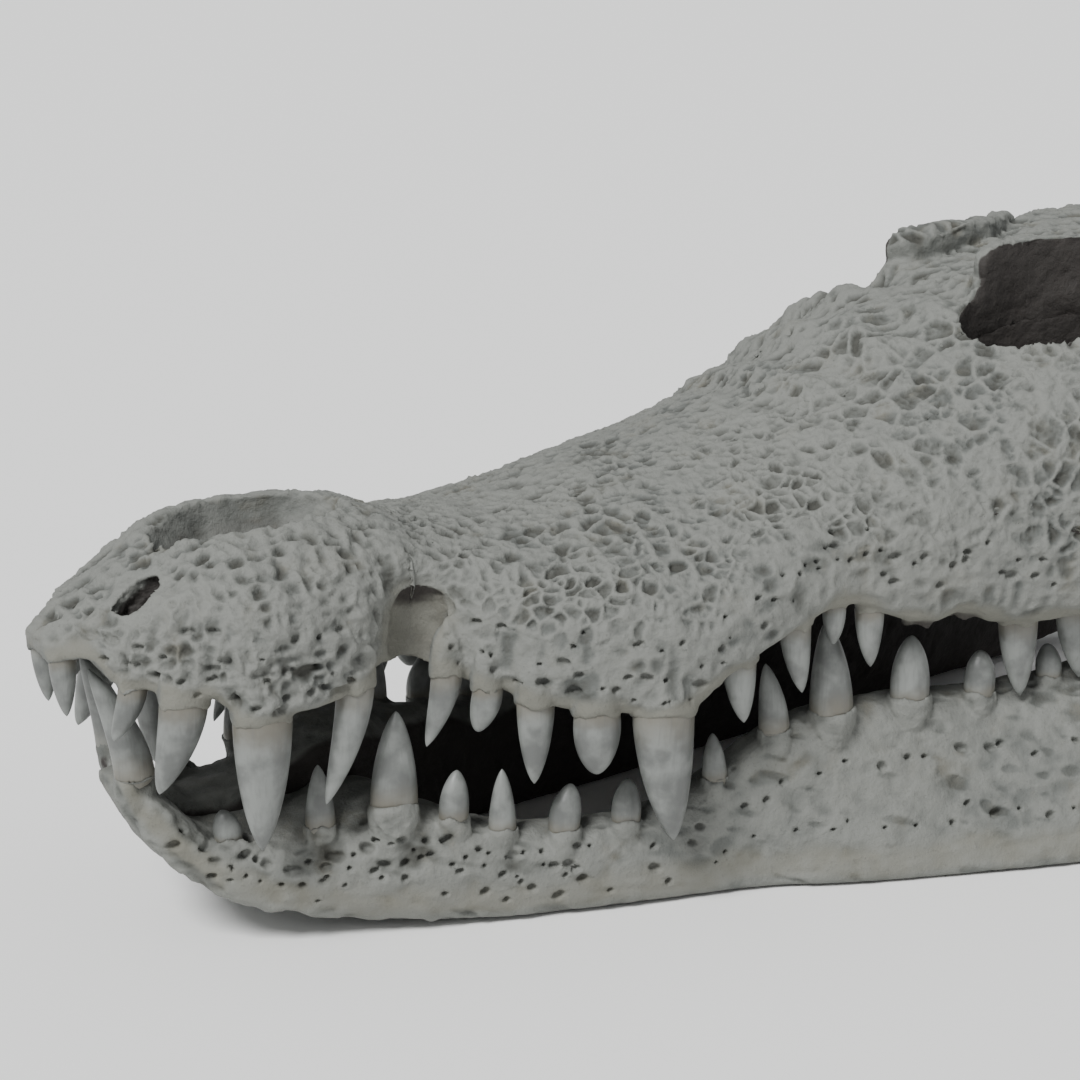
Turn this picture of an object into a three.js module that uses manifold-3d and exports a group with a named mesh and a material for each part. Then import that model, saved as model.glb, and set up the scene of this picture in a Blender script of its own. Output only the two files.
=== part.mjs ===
// Skull of an adult crocodile with its lower jaw, lying on the underside of the jaw.
//
// Millimetres, +Z up.  While the bones are being shaped, x runs back from the tip of
// the snout, y = 0 is the middle line, and z = 0 is the surface that the jaw lies on.
// The animal's left is -y.  The last lines centre the skull over the origin.
//
// The cranium is one lofted shell with its openings cut out and its inner struts
// added.  It is then parted into its bones by thin cuts along the sutures.  Each half
// of the lower jaw is made the same way.  Teeth are joined to the bone that holds them.

import * as THREE from 'three';
import { mergeVertices } from 'three/addons/utils/BufferGeometryUtils.js';
import Module from 'manifold-3d';

const wasm = await Module();
wasm.setup();

// ---------------------------------------------------------------- driving dimensions

const SUTURE = 0.3;              // gap between neighbouring bones
const SIDES = [['left', -1], ['right', 1]];

// Curves along the skull: [distance behind the snout tip, value].
// Cranium, as seen from the side.
const ROOF_HEIGHT = curve([
  [0, 92], [5, 101], [20, 109], [50, 118], [75, 118.5], [110, 112], [132, 112.5], [170, 121.5],
  [215, 136], [240, 147], [270, 164], [292, 175], [325, 181], [390, 184], [540, 184],
]);
const PALATE_HEIGHT = curve([
  [0, 87], [20, 84], [60, 81], [95, 94], [115, 82], [200, 85], [260, 88], [540, 90],
]);
const TOOTH_EDGE_HEIGHT = curve([
  [0, 86], [6, 82], [20, 78], [32, 74], [50, 71], [68, 73], [80, 77], [88, 88], [96, 96],
  [102, 86], [108, 77], [118, 71], [130, 67], [146, 64.5], [164, 63.5], [178, 67],
  [190, 73], [205, 80], [220, 84], [235, 80], [260, 73], [285, 70.5], [305, 74],
  [335, 82], [355, 89], [400, 92], [500, 92], [540, 90],
]);
const WIDEST_HEIGHT = curve([
  [0, 91], [20, 90], [50, 86], [80, 92], [96, 104], [110, 92], [145, 84], [165, 82],
  [190, 88], [220, 96], [280, 102], [320, 110], [360, 112], [420, 106], [540, 100],
]);
// Cranium, half widths as seen from above.
const WIDEST = curve([
  [0, 5], [6, 14], [20, 29], [32, 38.5], [50, 47.5], [66, 47], [80, 43.5], [92, 37],
  [100, 37], [108, 43], [120, 51.5], [145, 66.5], [165, 72], [190, 73], [215, 72],
  [240, 74], [270, 79], [300, 87], [330, 95], [370, 104], [400, 110], [450, 122],
  [500, 133], [520, 136], [532, 133],
]);
const TOOTH_EDGE = curve([
  [0, 4], [6, 12], [20, 27.5], [32, 37], [50, 46.5], [80, 43], [92, 37], [100, 37],
  [108, 43], [120, 50], [145, 65], [165, 70.5], [190, 71.5], [240, 70], [286, 73],
  [304, 75], [335, 86], [355, 95], [400, 105], [450, 117], [500, 128], [532, 128],
]);
const FLAT_ROOF = curve([[0, 1], [270, 14], [322, 21], [372, 44], [392, 53], [500, 62], [540, 62]]);
const SQUARENESS = curve([[0, 2], [60, 2.3], [165, 2.5], [290, 2.2], [540, 2.2]]);
const TABLE_BLEND = curve([[0, 0], [300, 0], [372, 1], [540, 1]]);
const RIDGE_WIDTH = 15;          // bone that the upper teeth stand in
const SHELL = 11;                // thickness of the walls round the jaw muscles' chamber

const EDGE_BEVEL = 4;            // slope on the inner side of that bone
const ROOF_STEPS = 5;            // facets from the widest line up to the middle line

const NARIS = { x: 63, z: 122, length: 62, width: 40, depth: 46 };
const TOOTH_PIT = { from: [14.5, 16.5, 70], to: [24, 13, 112], radius: 6.5 };
const INCISIVE_HOLE = { x: 52, z: 80, length: 26, width: 13, depth: 44 };
const ORBIT = { x: 322, y: 46, length: 74, width: 52 };
const UPPER_TEMPORAL_HOLE = { x: 440, y: 28, length: 38, width: 27 };
// Side views: the hole behind the eye, the slit over the ear and the slope of the rear.
const LOWER_TEMPORAL_HOLE = [
  [382, 121], [462, 118], [466, 124], [436, 172], [428, 177], [398, 177], [392, 172],
];
const EAR_SLIT = [[446, 168], [498, 160], [500, 172], [446, 176]];
const REAR_SLOPE = [[503, 172], [533, 110], [560, 110], [560, 220], [503, 220]];
const TABLE_REAR = 500;
const SKULL_REAR = 532;
const CHAMBER_FRONT = 298;       // the hollow for the jaw muscles opens downwards behind here
const SUBORBITAL_HOLE = { x: 322, y: 40, length: 124, width: 42 };
const CHOANA = { x: 462, z: 84, length: 20, width: 22, depth: 24 };
const CONDYLE = { x: 507, z: 141, radius: 9.5 };
const FORAMEN_MAGNUM = { z: 159, radius: 6.5, depth: 22 };
const PALATINE_WIDTH = curve([[236, 24], [290, 17], [335, 15.5], [365, 20], [392, 28]]);
const BRAINCASE_WIDTH = curve([[392, 12], [420, 17], [460, 21], [500, 27]]);
// Wings of the pterygoids: how far they reach sideways and how far they droop.
const WING = curve([[366, 20], [384, 44], [400, 70], [424, 76], [444, 58], [464, 32], [480, 22]]);
const DROOP = curve([[366, 4], [400, 20], [424, 26], [444, 14], [480, 2]]);
// Half of the rear plate, from the skull table down to the pterygoids.
const OCCIPUT = [[0, 180], [54, 180], [94, 162], [98, 150], [50, 138], [28, 120], [22, 98], [0, 94]];
const OCCIPUT_THICKNESS = 14;

// Lower jaw: one half, as seen from above and from the side.
const JAW_OUTSIDE = curve([
  [13, 4], [16, 11], [21, 18], [32, 23.5], [44, 28], [71, 36], [91, 41], [108, 45],
  [140, 51], [160, 54.5], [190, 58], [226, 64], [252, 70], [278, 76], [303, 83], [350, 94],
  [400, 106], [450, 117], [500, 124], [540, 124], [572, 117], [602, 105],
]);
const JAW_INSIDE = curve([
  [13, -4], [20, -9], [60, -12], [88, -8], [102, 6], [122, 22], [160, 33], [220, 45],
  [300, 58], [350, 69], [400, 84], [450, 96], [500, 98], [560, 98], [602, 97],
]);
const JAW_TOP = curve([
  [13, 50], [20, 51.5], [30, 44], [44, 32], [56, 31], [71, 33.5], [91, 38.5], [104, 34],
  [122, 27.5], [140, 25.5], [160, 25.5], [175, 29], [190, 37], [204, 47], [228, 51.5],
  [252, 51.5], [278, 47], [303, 49.5], [350, 64], [385, 79], [410, 85], [445, 86],
  [480, 83], [523, 84], [541, 87], [566, 77], [586, 83], [602, 95],
]);
const JAW_BOTTOM = curve([
  [13, 46], [16, 41], [20, 35], [26, 28], [37, 18], [50, 11.5], [70, 5.5], [98, 1.8],
  [135, 0], [420, 0], [455, 4], [500, 17], [545, 38], [580, 60], [602, 78],
]);
// The right half rides a little higher than the left, as jaws do once they have dried.
const RIGHT_RISE = curve([[13, 0], [60, 7.5], [130, 12], [180, 9], [220, 3], [270, 0], [602, 0]]);
const JAW_LEAN = curve([[13, 0], [190, 0], [300, 12], [400, 8], [520, 0], [602, 0]]);
const JAW_SQUARENESS = 2.7;
const JAW_FENESTRA = { x: 410, z: 45, length: 48, height: 21 };
const SYMPHYSIS_REAR = 160;      // the halves of the jaw face each other in front of this

// Teeth: distance behind the snout tip, distance from the middle line, length of the
// crown below or above the bone, width, and how far the tip is set back and outwards.
const PREMAXILLARY_TEETH = [
  [6, 8, 14, 7.5, 0.5, 0], [20, 24, 12, 9, -6, 1], [31, 33, 22, 13, -6, 1],
  [50, 42.5, 37, 15.5, -1, 0], [78, 40.5, 32, 10.5, -10, 1.5],
];
const MAXILLARY_TEETH = [
  [106, 40.5, 23, 8, -7, 1], [116, 46, 13, 8, -3, 0], [128, 52, 24, 10.5, -1, 1],
  [143, 60.5, 19, 13, 0, 0], [162, 66, 40, 18, 4, 0], [186, 67, 15, 9.5, 2, 0],
  [205, 67, 18, 9, 3, 0], [219, 66.5, 9, 6.5, 0, 0], [232, 66, 15, 8.5, 1, 0],
  [286, 68.5, 21, 12.5, 2, 0], [305, 71, 21, 11, 4, 0], [321, 76, 14, 9, 2, 0],
];
const DENTARY_TEETH = [
  [20, 13.5, 29, 11, -5, 3], [43, 24, 9, 7, -1, 0], [71, 30.5, 18, 8.5, -0.5, 0],
  [91, 36.5, 27, 13.5, 1, 0], [108, 40, 14, 8.5, 1, 0], [122, 43, 18, 8, 0, 0],
  [140, 47, 13.5, 9, 2, 0], [159, 50, 13, 8.5, 0.5, 0], [187, 53.5, 14, 7.5, -1, 0],
  [206, 56, 21, 9.5, -3.5, 0], [225, 58, 28, 13.5, -2.5, 0], [252, 60.5, 20, 12, 0, 0],
  [277, 62.5, 17, 9.5, 0, 0], [302, 65, 14, 8, -1, 0], [324, 69, 10, 8, 0, 0],
];

const BONE = new THREE.MeshStandardMaterial({ color: 0xb4b6ae, roughness: 0.72, metalness: 0 });

// ----------------------------------------------------------------------- shape tools

// A smooth curve through the points that never overshoots them.
function curve(points) {
  const slopes = points.slice(1).map((p, i) => (p[1] - points[i][1]) / (p[0] - points[i][0]));
  const tangents = points.map((p, i) => {
    const before = slopes[i - 1] ?? slopes[0];
    const after = slopes[i] ?? slopes[slopes.length - 1];
    return before * after > 0 ? (2 * before * after) / (before + after) : 0;
  });
  return (x) => {
    if (x <= points[0][0]) return points[0][1];
    if (x >= points[points.length - 1][0]) return points[points.length - 1][1];
    const i = points.findIndex((p) => p[0] > x) - 1;
    const run = points[i + 1][0] - points[i][0];
    const t = (x - points[i][0]) / run;
    const start = (1 + 2 * t) * (1 - t) ** 2 * points[i][1] + t * (1 - t) ** 2 * run * tangents[i];
    const end = t * t * (3 - 2 * t) * points[i + 1][1] + t * t * (t - 1) * run * tangents[i + 1];
    return start + end;
  };
}

const mix = (a, b, t) => a + (b - a) * t;
const power = (value, exponent) => Math.sign(value) * Math.abs(value) ** exponent;

// Places along x, closest together where the shape turns fastest.
function stations(...runs) {
  const list = [];
  for (const [from, to, count] of runs) {
    for (let i = 0; i < count; i += 1) list.push(mix(from, to, i / count));
  }
  list.push(runs[runs.length - 1][1]);
  return list;
}

// Closed solid through a list of rings with the same number of points, capped flat.
function loft(rings) {
  const size = rings[0].length;
  const points = rings.flat();
  const triangles = [];
  for (let r = 0; r + 1 < rings.length; r += 1) {
    for (let k = 0; k < size; k += 1) {
      const a = r * size + k;
      const b = r * size + ((k + 1) % size);
      triangles.push(a, b, a + size, b, b + size, a + size);
    }
  }
  for (const [first, flip] of [[0, true], [(rings.length - 1) * size, false]]) {
    const ring = rings[first / size];
    const centre = points.length;
    points.push([0, 1, 2].map((axis) => ring.reduce((sum, p) => sum + p[axis], 0) / size));
    for (let k = 0; k < size; k += 1) {
      const a = first + k;
      const b = first + ((k + 1) % size);
      triangles.push(centre, flip ? b : a, flip ? a : b);
    }
  }
  const geometry = new THREE.BufferGeometry();
  geometry.setAttribute('position', new THREE.Float32BufferAttribute(points.flat(), 3));
  geometry.setIndex(triangles);
  return solid(geometry);
}

// A closed geometry as a solid that can be joined and cut, with its faces outwards.
function solid(geometry) {
  geometry.deleteAttribute('normal');
  geometry.deleteAttribute('uv');
  const merged = mergeVertices(geometry, 1e-4);
  const position = merged.getAttribute('position').array;
  const triVerts = Uint32Array.from(merged.getIndex().array);
  const corner = (i) => new THREE.Vector3().fromArray(position, 3 * triVerts[i]);
  let volume = 0;
  for (let i = 0; i < triVerts.length; i += 3) {
    volume += corner(i).dot(corner(i + 1).cross(corner(i + 2)));
  }
  if (volume < 0) triVerts.reverse();
  return new wasm.Manifold(new wasm.Mesh({ numProp: 3, vertProperties: position, triVerts }));
}

function joined(solids) {
  return solids.reduce((sum, next) => sum.add(next));
}

// Round or squarish section: a superellipse about a centre, in the y-z plane at x.
function superRing(x, y, z, halfWidth, halfHeight, squareness, count) {
  const ring = [];
  for (let k = 0; k < count; k += 1) {
    const angle = (2 * Math.PI * (k + 0.5)) / count;
    ring.push([
      x,
      y + halfWidth * power(Math.cos(angle), 2 / squareness),
      z + halfHeight * power(Math.sin(angle), 2 / squareness),
    ]);
  }
  return ring;
}

// An egg shape with a half size along each axis.
function egg(x, y, z, halfX, halfY, halfZ, sides = 8, rows = 5) {
  const geometry = new THREE.SphereGeometry(1, sides, rows);
  geometry.scale(halfX, halfY, halfZ);
  geometry.translate(x, y, z);
  return solid(geometry);
}

// A round strut that passes through the points, with a half width and half height at each.
function strut(points, sides = 6) {
  return loft(points.map(([x, y, z, halfWidth, halfHeight]) => (
    superRing(x, y, z, halfWidth, halfHeight, 2.3, sides)
  )));
}

// Moves every edge of an outline outwards.
function grown(outline, by) {
  const area = THREE.ShapeUtils.area(outline.map(([u, v]) => ({ x: u, y: v })));
  const normal = (p, q) => {
    const length = Math.hypot(q[0] - p[0], q[1] - p[1]) * Math.sign(area);
    return [(q[1] - p[1]) / length, (p[0] - q[0]) / length];
  };
  return outline.map((p, i) => {
    const before = normal(outline[(i + outline.length - 1) % outline.length], p);
    const after = normal(p, outline[(i + 1) % outline.length]);
    const reach = by / (1 + before[0] * after[0] + before[1] * after[1]);
    return [p[0] + (before[0] + after[0]) * reach, p[1] + (before[1] + after[1]) * reach];
  });
}

function ellipse(u, v, length, width, count) {
  const outline = [];
  for (let k = 0; k < count; k += 1) {
    const angle = (2 * Math.PI * k) / count;
    outline.push([u + (length / 2) * Math.cos(angle), v + (width / 2) * Math.sin(angle)]);
  }
  return outline;
}

function prism(outline, depth) {
  const shape = new THREE.Shape(outline.map(([u, v]) => new THREE.Vector2(u, v)));
  return new THREE.ExtrudeGeometry(shape, { depth, bevelEnabled: false, steps: 1 });
}

// Upright prism on an outline drawn from above, from one height to another.
function fromAbove(outline, low, high) {
  const geometry = prism(outline, high - low);
  geometry.translate(0, 0, low);
  return solid(geometry);
}

// Sideways prism on an outline drawn from the side, from one y to another.
function fromSide(outline, y0, y1) {
  const geometry = prism(outline, Math.abs(y1 - y0));
  geometry.rotateX(Math.PI / 2);
  geometry.translate(0, Math.max(y0, y1), 0);
  return solid(geometry);
}

// --------------------------------------------------------------------------- cranium

// Half of the section at x, from the palate's middle line out and up to the roof's.
// An inset draws the wall further in, and a floor replaces the palate.
function halfSection(x, inset = 0, floor = null) {
  const side = WIDEST(x) - inset;
  const sideHeight = WIDEST_HEIGHT(x);
  const roof = ROOF_HEIGHT(x) - inset;
  const flat = FLAT_ROOF(x) - inset * 0.6;
  const edge = TOOTH_EDGE(x);
  const edgeHeight = TOOTH_EDGE_HEIGHT(x);
  const ridge = Math.min(RIDGE_WIDTH, edge * 0.6);
  const palate = Math.max(PALATE_HEIGHT(x), edgeHeight + 2);
  const half = floor === null
    ? [[0, palate], [edge - ridge, palate], [edge - EDGE_BEVEL, edgeHeight]]
    : [[0, floor], [side * 0.5, floor], [side, floor]];
  const exponent = 2 / SQUARENESS(x);
  const corner = ROOF_STEPS - 2;
  const rim = roof - 2;
  const blend = TABLE_BLEND(x);
  for (let k = 0; k <= ROOF_STEPS; k += 1) {
    const angle = (Math.PI / 2) * (k / ROOF_STEPS);
    const dome = [
      side * power(Math.cos(angle), exponent),
      sideHeight + (roof - sideHeight) * power(Math.sin(angle), exponent),
    ];
    const table = k <= corner
      ? [mix(side, flat, k / corner), mix(sideHeight, rim, k / corner)]
      : [mix(flat, 0, (k - corner) / 2), mix(rim, roof, (k - corner) / 2)];
    half.push([mix(dome[0], table[0], blend), mix(dome[1], table[1], blend)]);
  }
  return half;
}

function wholeRing(x, half) {
  const inner = half.slice(1, -1).reverse();
  return [
    ...half.map(([y, z]) => [x, -y, z]),
    ...inner.map(([y, z]) => [x, y, z]),
  ];
}

function craniumShell() {
  const places = stations(
    [0, 20, 3], [20, 80, 4], [80, 120, 4], [120, 300, 4], [300, SKULL_REAR, 5],
  );
  const outside = loft(places.map((x) => wholeRing(x, halfSection(x))));
  const chamberFloor = 40;
  const chamber = loft(stations([CHAMBER_FRONT, 560, 4]).map((x) => (
    wholeRing(x, halfSection(x, SHELL, chamberFloor))
  )));
  const behindTable = fromAbove(
    [[TABLE_REAR + 3, -64], [TABLE_REAR + 3, 64], [545, 92], [545, -92]], chamberFloor, 230,
  );
  const behindQuadrates = fromSide(REAR_SLOPE, -150, 150);
  return outside.subtract(chamber).subtract(behindTable).subtract(behindQuadrates);
}

// Openings that come in pairs, on the side given by the sign.
function pairedOpenings(sign) {
  const orbit = fromAbove(ellipse(ORBIT.x, sign * ORBIT.y, ORBIT.length, ORBIT.width, 12), 112, 230);
  const upperTemporal = fromAbove(
    ellipse(
      UPPER_TEMPORAL_HOLE.x, sign * UPPER_TEMPORAL_HOLE.y,
      UPPER_TEMPORAL_HOLE.length, UPPER_TEMPORAL_HOLE.width, 8,
    ), 150, 230,
  );
  const lowerTemporal = fromSide(LOWER_TEMPORAL_HOLE, sign * 40, sign * 150);
  const earSlit = fromSide(EAR_SLIT, sign * 52, sign * 150);
  const suborbital = fromAbove(
    ellipse(
      SUBORBITAL_HOLE.x, sign * SUBORBITAL_HOLE.y,
      SUBORBITAL_HOLE.length, SUBORBITAL_HOLE.width, 10,
    ), 50, 112,
  );
  const [fromX, fromY, fromZ] = TOOTH_PIT.from;
  const [toX, toY, toZ] = TOOTH_PIT.to;
  const pit = strut([
    [fromX, sign * fromY, fromZ, TOOTH_PIT.radius, TOOTH_PIT.radius],
    [toX, sign * toY, toZ, TOOTH_PIT.radius, TOOTH_PIT.radius],
  ]);
  return [orbit, upperTemporal, lowerTemporal, earSlit, suborbital, pit];
}

function middleOpenings() {
  const naris = egg(NARIS.x, 0, NARIS.z, NARIS.length / 2, NARIS.width / 2, NARIS.depth / 2, 10, 6);
  const incisive = egg(
    INCISIVE_HOLE.x, 0, INCISIVE_HOLE.z,
    INCISIVE_HOLE.length / 2, INCISIVE_HOLE.width / 2, INCISIVE_HOLE.depth / 2,
  );
  return [naris, incisive];
}

// Struts and plates inside and under the rear half of the skull.
function pairedStruts(sign) {
  const toothBar = loft(stations([284, 348, 3]).map((x) => {
    const outer = WIDEST(x) - 3;
    const inner = mix(60, 80, (x - 284) / 64);
    const low = TOOTH_EDGE_HEIGHT(x);
    const high = 104;
    return superRing(
      x, (sign * (outer + inner)) / 2, (low + high) / 2, (outer - inner) / 2, (high - low) / 2, 4, 8,
    );
  }));
  const prefrontalPillar = strut([[298, sign * 15, 100, 5, 6], [301, sign * 15, 100, 5, 6]]);
  const ectopterygoid = strut([
    [326, sign * 80, 95, 8, 7], [356, sign * 80, 93, 9, 6],
    [384, sign * 68, 85, 8, 7], [416, sign * 66, 73, 7, 8],
  ]);
  const quadrateBody = loft([
    superRing(444, sign * 22, 150, 10, 18, 2.5, 8),
    superRing(482, sign * 64, 140, 24, 15, 2.5, 8),
    superRing(515, sign * 106, 102, 23, 13, 2.5, 8),
    superRing(531, sign * 111, 96, 17, 8, 2.5, 8),
  ]);
  return [toothBar, prefrontalPillar, ectopterygoid, quadrateBody];
}

function middleStruts() {
  const palatines = loft(stations([236, 392, 3]).map((x) => (
    superRing(x, 0, 95, PALATINE_WIDTH(x), 13, 3, 8)
  )));
  const pterygoids = loft(stations([366, 480, 6]).map((x) => {
    const top = [[0, 98], [WING(x) * 0.5, 97 - DROOP(x) * 0.3], [WING(x), 92 - DROOP(x)]];
    const bottom = [[WING(x), 84 - DROOP(x)], [WING(x) * 0.5, 86 - DROOP(x) * 0.3], [0, 86]];
    return wholeRing(x, [...top, ...bottom]);
  }));
  const braincase = loft(stations([392, TABLE_REAR, 4]).map((x) => (
    superRing(x, 0, 138, BRAINCASE_WIDTH(x), 46, 3, 8)
  )));
  const occiput = fromFront(OCCIPUT, TABLE_REAR - OCCIPUT_THICKNESS, TABLE_REAR);
  const condyle = egg(CONDYLE.x, 0, CONDYLE.z, CONDYLE.radius, CONDYLE.radius, CONDYLE.radius * 0.9);
  return [palatines, pterygoids, braincase, occiput, condyle];
}

// Plate across the skull, mirrored about the middle line, from one x to another.
function fromFront(half, x0, x1) {
  return loft([x0, x1].map((x) => wholeRing(x, half)));
}

function cranium() {
  let body = craniumShell();
  for (const cut of [...pairedOpenings(-1), ...pairedOpenings(1), ...middleOpenings()]) {
    body = body.subtract(cut);
  }
  body = joined([body, ...pairedStruts(-1), ...pairedStruts(1), ...middleStruts()]);
  const choana = egg(CHOANA.x, 0, CHOANA.z, CHOANA.length / 2, CHOANA.width / 2, CHOANA.depth / 2);
  const { z, radius, depth } = FORAMEN_MAGNUM;
  const magnum = strut([[TABLE_REAR - depth, 0, z, radius, radius], [TABLE_REAR + 5, 0, z, radius, radius]]);
  body = body.subtract(choana).subtract(magnum);
  const teeth = SIDES.flatMap(([, sign]) => (
    [...PREMAXILLARY_TEETH, ...MAXILLARY_TEETH].map((row) => (
      tooth(row, sign, TOOTH_EDGE_HEIGHT(row[0]), -1)
    ))
  ));
  return joined([body, ...teeth]);
}

// ----------------------------------------------------------------------------- teeth

// A bent cone with a blunt tip.  Its root sinks into the bone at the given height, and
// its crown points down (way -1) or up (way 1).
function tooth([x, y, length, width, back, outwards], sign, height, way) {
  const radius = width / 2;
  const sides = length < 20 ? 4 : 5;
  const profile = length < 20 ? [[-0.3, 1], [0.93, 0.3]] : [[-0.25, 0.97], [0.4, 0.86], [0.94, 0.24]];
  const rings = profile.map(([along, thickness]) => {
    const bend = Math.max(along, 0) ** 1.5;
    const ring = [];
    for (let k = 0; k < sides; k += 1) {
      const angle = (2 * Math.PI * k) / sides;
      ring.push([
        x + back * bend + radius * thickness * Math.cos(angle),
        sign * (y + outwards * bend + 0.85 * radius * thickness * Math.sin(angle)),
        height + way * length * along,
      ]);
    }
    return ring;
  });
  return loft(rings);
}

// ------------------------------------------------------------------------- lower jaw

const jawTop = (x, sign) => JAW_TOP(x) + (sign > 0 ? RIGHT_RISE(x) : 0);

function jawRing(x, sign) {
  const outside = JAW_OUTSIDE(x);
  const inside = JAW_INSIDE(x);
  const top = jawTop(x, sign);
  const bottom = JAW_BOTTOM(x);
  const count = 8;
  // The two lowest points are level, so that the jaw has a flat to lie on.
  const flatPoint = Math.sin(Math.PI / 2 - Math.PI / count) ** (2 / JAW_SQUARENESS);
  const ring = superRing(
    x, (outside + inside) / 2, (top + bottom) / 2,
    (outside - inside) / 2, (top - bottom) / 2 / flatPoint, JAW_SQUARENESS, count,
  );
  return ring.map(([, y, z]) => {
    const lean = JAW_LEAN(x) * mix(0.6, -0.9, (z - bottom) / (top - bottom));
    return [x, sign * (y + lean), z];
  });
}

function jawHalf(sign) {
  const places = stations([13, 50, 4], [50, 130, 5], [130, 300, 4], [300, 480, 4], [480, 602, 4]);
  const bone = loft(places.map((x) => jawRing(x, sign)));
  const fenestra = fromSide(
    ellipse(JAW_FENESTRA.x, JAW_FENESTRA.z, JAW_FENESTRA.length, JAW_FENESTRA.height, 10),
    sign * 50, sign * 150,
  );
  const middle = (sign * SUTURE) / 2;
  const farHalf = fromAbove(
    [[0, -sign * 60], [SYMPHYSIS_REAR, -sign * 60], [SYMPHYSIS_REAR, middle], [0, middle]], -10, 120,
  );
  const teeth = DENTARY_TEETH.map((row) => tooth(row, sign, jawTop(row[0], sign), 1));
  return joined([bone.subtract(fenestra).subtract(farHalf), ...teeth]);
}

// ---------------------------------------------------------------------------- bones

// Regions are drawn for the right side; the sign turns them over for the left.
function above(outline, sign, low, high) {
  const turned = outline.map(([x, y]) => [x, y * sign]);
  return (grow) => fromAbove(grown(turned, grow), low - grow, high + grow);
}

function beside(outline, sign, near, far) {
  return (grow) => fromSide(grown(outline, grow), sign * (near - grow), sign * (far + grow));
}

function both(first, second) {
  return (grow) => first(grow).intersect(second(grow));
}

// Takes bones off a whole one after another; each leaves a thin gap to the rest.
function parted(whole, regions) {
  const bones = [];
  let rest = whole;
  for (const [name, region] of regions) {
    bones.push([name, rest.intersect(region(0))]);
    rest = rest.subtract(region(SUTURE));
  }
  return [bones, rest];
}

// Sutures of the cranium for one side, from the snout back.
function craniumRegions(side, sign) {
  const mid = SUTURE / 2;
  const top = 240;
  return [
    [`nasal_${side}`, both(
      above(
        [[93, mid], [290, mid], [299, 4], [275, 17], [240, 22], [180, 19], [136, 11], [93, 7]],
        sign, 90, top,
      ),
      beside([[90, 100], [130, 100], [215, 122], [300, 158], [300, top], [90, top]], sign, -5, 60),
    )],
    [`premaxilla_${side}`, above(
      [[-5, mid], [104, mid], [108, 9], [134, 11], [118, 22], [101, 32], [92, 40], [88, 60], [-5, 60]],
      sign, 0, top,
    )],
    [`prefrontal_${side}`, both(
      above(
        [[238, 10], [299, 3], [316, 12], [324, 21], [318, 27], [286, 39], [268, 34], [238, 24]],
        sign, 90, top,
      ),
      beside([[240, 136], [330, 160], [330, top], [240, top]], sign, 0, 60),
    )],
    [`lacrimal_${side}`, both(
      above([[230, 20], [292, 30], [292, 62], [270, 60], [244, 50], [230, 36]], sign, 90, top),
      beside([[220, 118], [300, 138], [300, top], [220, top]], sign, 0, 90),
    )],
    [`jugal_${side}`, both(
      above(
        [[262, 56], [330, 56], [366, 70], [372, 84], [440, 96], [505, 112], [505, 160], [262, 160]],
        sign, 60, 178,
      ),
      beside(
        [
          [262, 112], [330, 94], [352, 86], [505, 84], [498, 106], [468, 123], [380, 123],
          [372, 150], [350, 178], [262, 178],
        ],
        sign, 40, 160,
      ),
    )],
    [`maxilla_${side}`, above(
      [[80, mid], [250, mid], [250, 40], [300, 58], [352, 70], [352, 110], [80, 110]], sign, 0, top,
    )],
    [`postorbital_${side}`, above(
      [[344, 30], [388, 34], [418, 38], [424, 80], [392, 130], [344, 130]], sign, 120, top,
    )],
    [`squamosal_${side}`, both(
      above([[400, 40], [452, 40], [466, 30], [520, 30], [520, 130], [400, 130]], sign, 120, top),
      beside([[415, 172.5], [530, 172.5], [530, top], [415, top]], sign, 20, 130),
    )],
    [`ectopterygoid_${side}`, above(
      [[320, 64], [352, 66], [376, 56], [412, 55], [424, 60], [424, 90], [352, 106], [320, 90]],
      sign, 40, 106,
    )],
    [`quadrate_${side}`, above(
      [[418, 60], [470, 44], [520, 60], [545, 92], [545, 150], [418, 150]], sign, 84, 176,
    )],
  ];
}

function middleRegions() {
  return [
    ['frontal', both(
      above([[236, -40], [352, -60], [390, -60], [390, 60], [352, 60], [236, 40]], 1, 130, 240),
      beside([[230, 134], [300, 158], [400, 158], [400, 240], [230, 240]], 1, -80, 80),
    )],
    ['parietal', above([[385, -60], [510, -60], [510, 60], [385, 60]], 1, 173, 240)],
    ['palatines', above(
      [[200, -62], [300, -62], [372, -30], [372, 30], [300, 62], [200, 62]], 1, 60, 170,
    )],
    ['pterygoids', above([[340, -95], [484, -95], [484, 95], [340, 95]], 1, 40, 99)],
  ];
}

function jawRegions(side, sign) {
  return [
    [`dentary_${side}`, beside(
      [[0, -10], [340, -10], [352, 18], [392, 40], [392, 50], [346, 70], [334, 120], [0, 120]],
      sign, -20, 160,
    )],
    [`angular_${side}`, beside(
      [[330, -10], [540, -10], [568, 48], [500, 34], [430, 44], [390, 44], [340, 12]], sign, 40, 160,
    )],
    [`surangular_${side}`, beside(
      [[330, -10], [496, -10], [500, 60], [516, 72], [500, 120], [330, 120]], sign, 40, 160,
    )],
  ];
}

// ------------------------------------------------------------------------- the model

function node(name, solidBody) {
  const { vertProperties, triVerts } = solidBody.getMesh();
  const geometry = new THREE.BufferGeometry();
  geometry.setAttribute('position', new THREE.Float32BufferAttribute(vertProperties, 3));
  geometry.setIndex(Array.from(triVerts));
  geometry.computeVertexNormals();
  const mesh = new THREE.Mesh(geometry, BONE);
  mesh.name = name;
  return mesh;
}

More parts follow.
